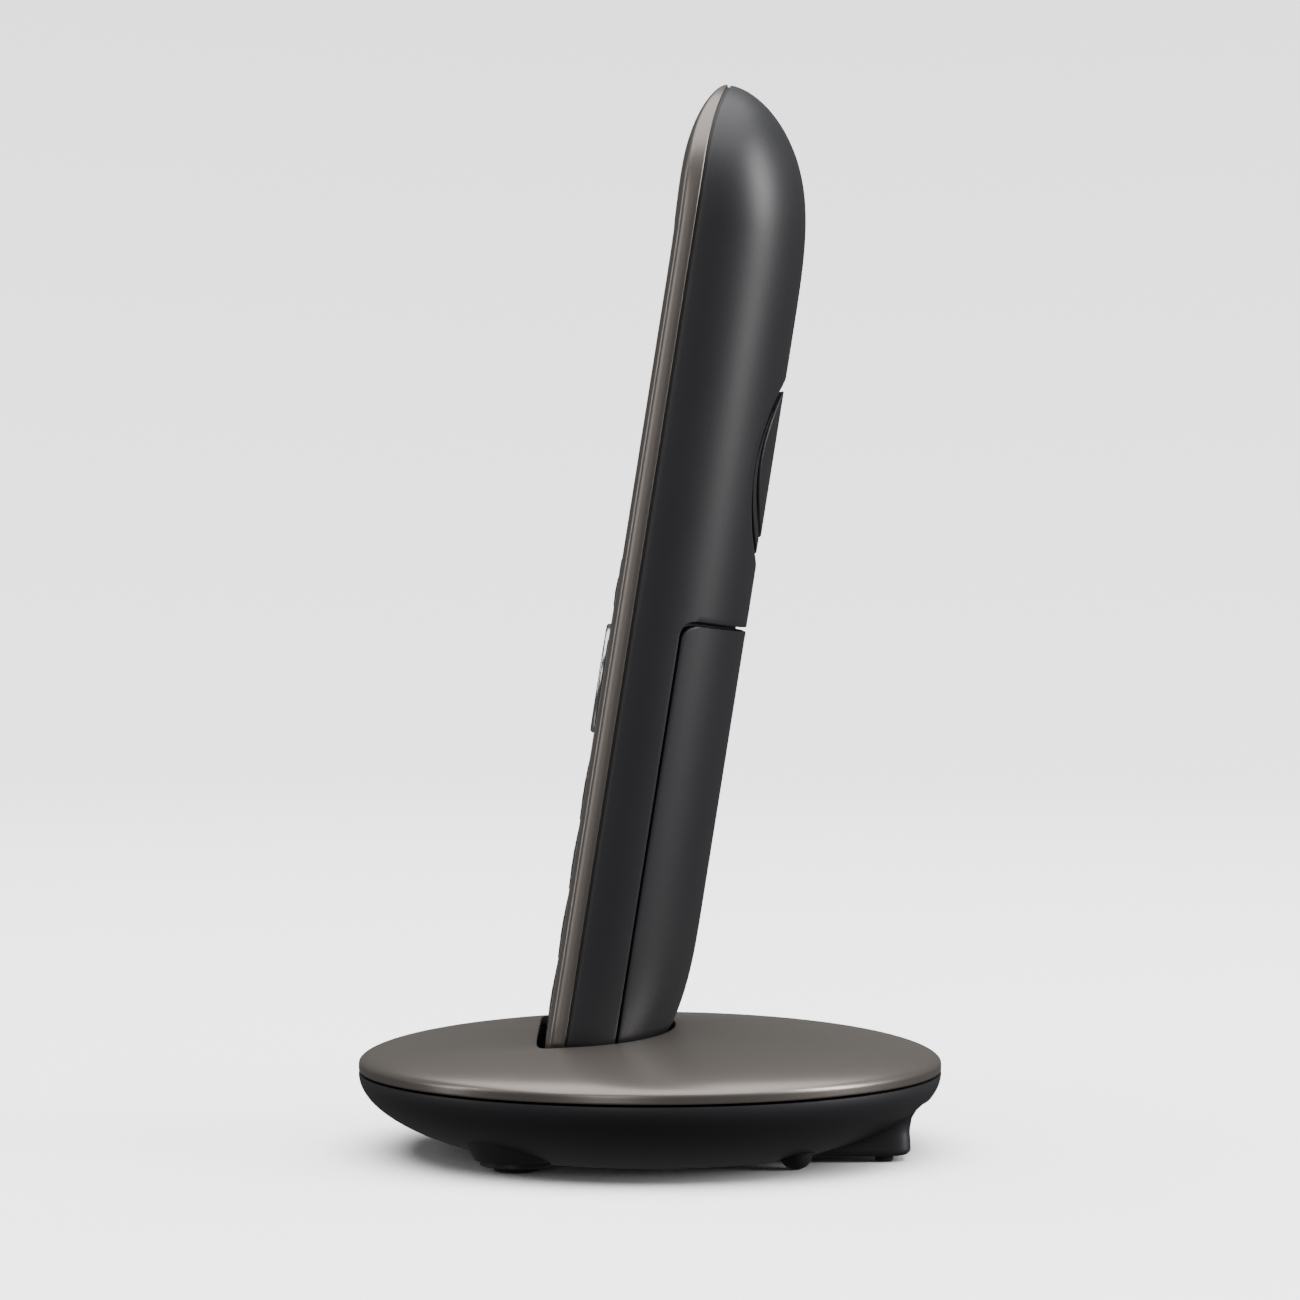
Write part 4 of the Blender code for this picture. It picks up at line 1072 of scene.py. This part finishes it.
class PHONE_OT_lower_shell(bpy.types.Operator):
    """Lower shell: a turned half ellipse blended with the rear block, hollow, with bosses for the feet"""
    bl_idname = "phone.lower_shell"
    bl_label = "Lower Shell"

    def execute(self, context):
        b = base()
        solid = closed_mesh("base_lower_shell_skin", lower_grid()[:, :-1])
        steps = []
        for side in ("left", "right"):
            low, high = node_box("front_foot_" + side)
            x, y = (low + high)[:2] / 2
            boss = revolved([[0, 0.0062], [0.0090, 0.0062], [0.0066, 0.0019], [0.0062, 0.00175],
                             [0.0057, 0.0017], [0.0057, 0.0011], [0.0055, 0.00095], [0, 0.00095]], 96)
            steps.append((closed_mesh("boss", boss + np.array([x, y, 0])), "UNION"))
        wall, rim = 0.0018, b.seam_z - handset().seam_gap / 2
        floor = b.floor_z + wall
        heights = np.linspace(floor, rim, 40)
        profile = np.stack([bowl_radius(heights, wall), heights], axis=-1)[::-1]
        hollow = np.concatenate([[[0, rim + 0.003], [b.radius - wall, rim + 0.003]], profile, [[0, floor]]])
        steps.append((closed_mesh("hollow", revolved(hollow, 240)), "DIFFERENCE"))
        block_hollow = (-0.0152, 0.0275, 0.0022), (0.0152, 0.0401, 0.02)
        steps.append((block_mesh(*block_hollow), "DIFFERENCE"))
        steps.append((self.recess(), "DIFFERENCE"))
        for node, top in (("front_foot", 0.0017), ("dome_foot", 0.007), ("block_foot", 0.004)):
            for side in ("left", "right"):
                steps.append((self.hole(node + "_" + side, top, clear=0.0003), "DIFFERENCE"))
        for number in (1, 2, 3):
            steps.append((self.hole(f"base_screw_{number}", top=0.004, clear=0.0004), "DIFFERENCE"))
        for node in ("line_jack", "power_jack"):
            low, high = node_box(node)
            gap = np.array([0.0003, 0, 0.0003])
            low[1], high[1] = 0.0396, 0.0424  # through the block's rear wall
            steps.append((block_mesh(low - gap, high + gap), "DIFFERENCE"))
        add_piece(apply_booleans(solid, steps), "bowl", "base", ["base_lower_shell"])
        return {"FINISHED"}

    def recess(self):
        """A cutter behind the block's rear face with round top corners, up to a ledge."""
        outline = round_rectangle(0.0300, 0.0180, 0.0012)
        rows = []
        face = base().block_face
        for level, share in ((face, 0), (face, 1), (0.05, 1), (0.05, 0)):
            rows.append(np.stack([outline[:, 0] * share, np.full(len(outline), level),
                                  outline[:, 1] * share], axis=-1))
        return closed_mesh("recess", np.stack(rows))

    def hole(self, node, top, clear):
        """A round cutter through the floor around a CAD node."""
        low, high = node_box(node)
        x, y = (low + high)[:2] / 2
        radius = (high[0] - low[0]) / 2 + clear
        grid = revolved([[0, top], [radius, top], [radius, -0.001], [0, -0.001]], 64)
        return closed_mesh("hole", grid + np.array([x, y, 0]))


class PHONE_OT_feet(bpy.types.Operator):
    """Feet turned from short profiles: flat pads in front, domes and small pads behind"""
    bl_idname = "phone.feet"
    bl_label = "Feet"

    def execute(self, context):
        for kind in ("front_foot", "dome_foot", "block_foot"):
            for side in ("left", "right"):
                node = kind + "_" + side
                low, high = node_box(node)
                radius, top = (high[0] - low[0]) / 2, high[2]
                edge = radius * 0.95 if kind == "dome_foot" else 0.0003  # a dome or a flat pad
                turn = np.linspace(0, np.pi / 2, 12)
                round_edge = np.stack([radius - edge + edge * np.cos(turn),
                                       min(edge, top * 0.5) * (1 - np.sin(turn))], axis=-1)
                profile = np.concatenate([[[0, top], [radius, top]], round_edge, [[0, 0]]])
                middle = np.array([*((low + high)[:2] / 2), 0])
                mesh = closed_mesh(node + "_rubber", revolved(profile, 64) + middle)
                add_piece(mesh, "rubber", "base", [node])
        return {"FINISHED"}


class PHONE_OT_sockets(bpy.types.Operator):
    """Sprung wires in the line socket: a circle carried along a line that drops by a power of 1.5"""
    bl_idname = "phone.sockets"
    bl_label = "Socket Contacts"

    def execute(self, context):
        low, high = node_box("line_jack")
        middle, pitch, radius = (low[0] + high[0]) / 2, 0.00127, 0.0002
        inset, below, length, fall = 0.0012, 0.0014, 0.0078, 0.0024
        share = np.linspace(0, 1, 24)[:, None]
        turn = np.linspace(0, 2 * np.pi, 9)[None, :-1]
        y = high[1] - inset - length * share
        z = high[2] - below - fall * share ** 1.5
        for number in range(4):
            x = middle + (number - 1.5) * pitch + radius * np.cos(turn)
            grid = np.stack(np.broadcast_arrays(x, y, z + radius * np.sin(turn)), axis=-1)
            start, end = (row.mean(axis=1, keepdims=True) + 0 * row for row in (grid[:1], grid[-1:]))
            mesh = closed_mesh(f"line_socket_wire_{number + 1}", np.concatenate([start, grid, end]))
            add_piece(mesh, "gold", "base")
        return {"FINISHED"}


class PHONE_OT_carried_parts(bpy.types.Operator):
    """Gives every carried-over part its real finish"""
    bl_idname = "phone.carried_parts"
    bl_label = "Carried Parts"

    def execute(self, context):
        by_slot = {"bronze": "bronze", "charcoal": "charcoal", "charcoal_base": "bowl",
                   "black_abs": "pocket", "gloss_black": "bezel", "lens": "lens", "silver": "silver",
                   "keys": "keys", "rubber": "rubber", "steel": "steel", "gold": "gold",
                   "circuit_board": "board", "battery": "battery"}
        for entry in frame["record"]["subparts"]:
            mesh = frame["nodes"][entry["node"]].data
            mesh.materials.clear()
            mesh.materials.append(FINISHES[by_slot[entry["material_slot"]]])
        return {"FINISHED"}


# ------------------------------------------------------------------ stage

def aim(item, place, target):
    """Put a camera or light at a place and turn it to the target."""
    item.location = place
    item.rotation_euler = (Vector(target) - Vector(place)).to_track_quat("-Z", "Y").to_euler()


def add_light(name, place, target, width, height, watts):
    """A white soft box that faces the target."""
    light = bpy.data.lights.new(name, "AREA")
    light.shape = "RECTANGLE"
    light.size, light.size_y = width, height
    light.energy = watts
    item = bpy.data.objects.new(name, light)
    bpy.context.scene.collection.objects.link(item)
    aim(item, place, target)
    return item


class PHONE_OT_stage(bpy.types.Operator):
    """Round pale floor that sweeps up into a wall, soft boxes, and the camera low at the phone's side"""
    bl_idname = "phone.stage"
    bl_label = "Stage"

    def execute(self, context):
        target = Vector((0, 0, 0.0815))
        distance, seen_width, rise = 0.74, 0.2118, math.radians(1.74)
        camera_data = bpy.data.cameras.new("camera")
        camera_data.sensor_width = 36
        camera_data.lens = camera_data.sensor_width * distance / seen_width
        camera_data.clip_end = 20
        camera = bpy.data.objects.new("camera", camera_data)
        context.scene.collection.objects.link(camera)
        context.scene.camera = camera
        aim(camera, target + distance * Vector((math.cos(rise), 0, math.sin(rise))), target)

        flat, bend, wall_top = 1.0, 1.25, 3.0
        turn = np.linspace(0, np.pi / 2, 40)
        curve = np.stack([flat + bend * np.sin(turn), bend - bend * np.cos(turn)], axis=-1)
        sweep = revolved(np.concatenate([[[0, 0]], curve, [[flat + bend, wall_top]]]), 192)
        floor = bpy.data.objects.new("floor", closed_mesh("floor", sweep))
        context.scene.collection.objects.link(floor)
        floor.data.materials.append(new_material("pale_matt_floor", {"Base Color": (0.86, 0.86, 0.86, 1),
                                                                     "Roughness": 0.9})[0])
        floor.visible_glossy = False
        floor.visible_diffuse = False

        context.scene.world = bpy.data.worlds.new("studio")
        context.scene.world.use_nodes = True
        background = context.scene.world.node_tree.nodes["Background"].inputs
        background["Color"].default_value = (1, 1, 1, 1)
        background["Strength"].default_value = 0.12
        middle, foot = (0, 0, 0.09), (0, 0, 0.02)
        add_light("side_strip", (0.16, 0.9, 0.42), middle, width=0.28, height=0.7, watts=11)
        add_light("front_strip", (0.15, -1.1, 0.35), middle, width=0.12, height=0.9, watts=3)
        add_light("camera_fill", (1.2, -0.35, 0.30), middle, width=0.4, height=0.8, watts=2.3)
        add_light("overhead_soft_box", (0.0, 0.0, 1.6), foot, width=2.4, height=2.4, watts=50)
        floor_light = add_light("overhead_floor_light", (0.0, 0.0, 1.7), foot, width=3.0, height=3.0,
                                watts=165)
        floor_light.visible_glossy = False
        return {"FINISHED"}


OPERATORS = (PHONE_OT_rear_shell, PHONE_OT_battery_door, PHONE_OT_speaker_cover, PHONE_OT_front_cover,
             PHONE_OT_seam_tongue, PHONE_OT_front_panel, PHONE_OT_keypad, PHONE_OT_navigation,
             PHONE_OT_top_cover, PHONE_OT_pocket, PHONE_OT_lower_shell, PHONE_OT_feet, PHONE_OT_sockets,
             PHONE_OT_carried_parts, PHONE_OT_stage)


class PHONE_PT_panel(bpy.types.Panel):
    """Lists the phone's pieces in the 3D view's sidebar"""
    bl_idname = "PHONE_PT_panel"
    bl_label = "Cordless Phone"
    bl_space_type = "VIEW_3D"
    bl_region_type = "UI"
    bl_category = "Phone"

    def draw(self, context):
        for group in (context.scene.phone_handset, context.scene.phone_base, context.scene.phone_colours):
            box = self.layout.box()
            for key in group.bl_rna.properties.keys():
                if key not in ("rna_type", "name"):
                    box.prop(group, key)
        for operator in OPERATORS:
            self.layout.operator(operator.bl_idname)


SETTINGS = (PhoneHandsetSettings, PhoneBaseSettings, PhoneColourSettings)


def register():
    for item in SETTINGS + OPERATORS + (PHONE_PT_panel,):
        bpy.utils.register_class(item)
    bpy.types.Scene.phone_handset = bpy.props.PointerProperty(type=PhoneHandsetSettings)
    bpy.types.Scene.phone_base = bpy.props.PointerProperty(type=PhoneBaseSettings)
    bpy.types.Scene.phone_colours = bpy.props.PointerProperty(type=PhoneColourSettings)


def unregister():
    del bpy.types.Scene.phone_handset, bpy.types.Scene.phone_base, bpy.types.Scene.phone_colours
    for item in reversed(SETTINGS + OPERATORS + (PHONE_PT_panel,)):
        bpy.utils.unregister_class(item)


def main():
    register()
    FINISHES.update(make_materials())
    bpy.ops.phone.stage()
    for operator in OPERATORS[:-1]:
        group, name = operator.bl_idname.split(".")
        getattr(getattr(bpy.ops, group), name)()


if __name__ == "__main__":
    main()
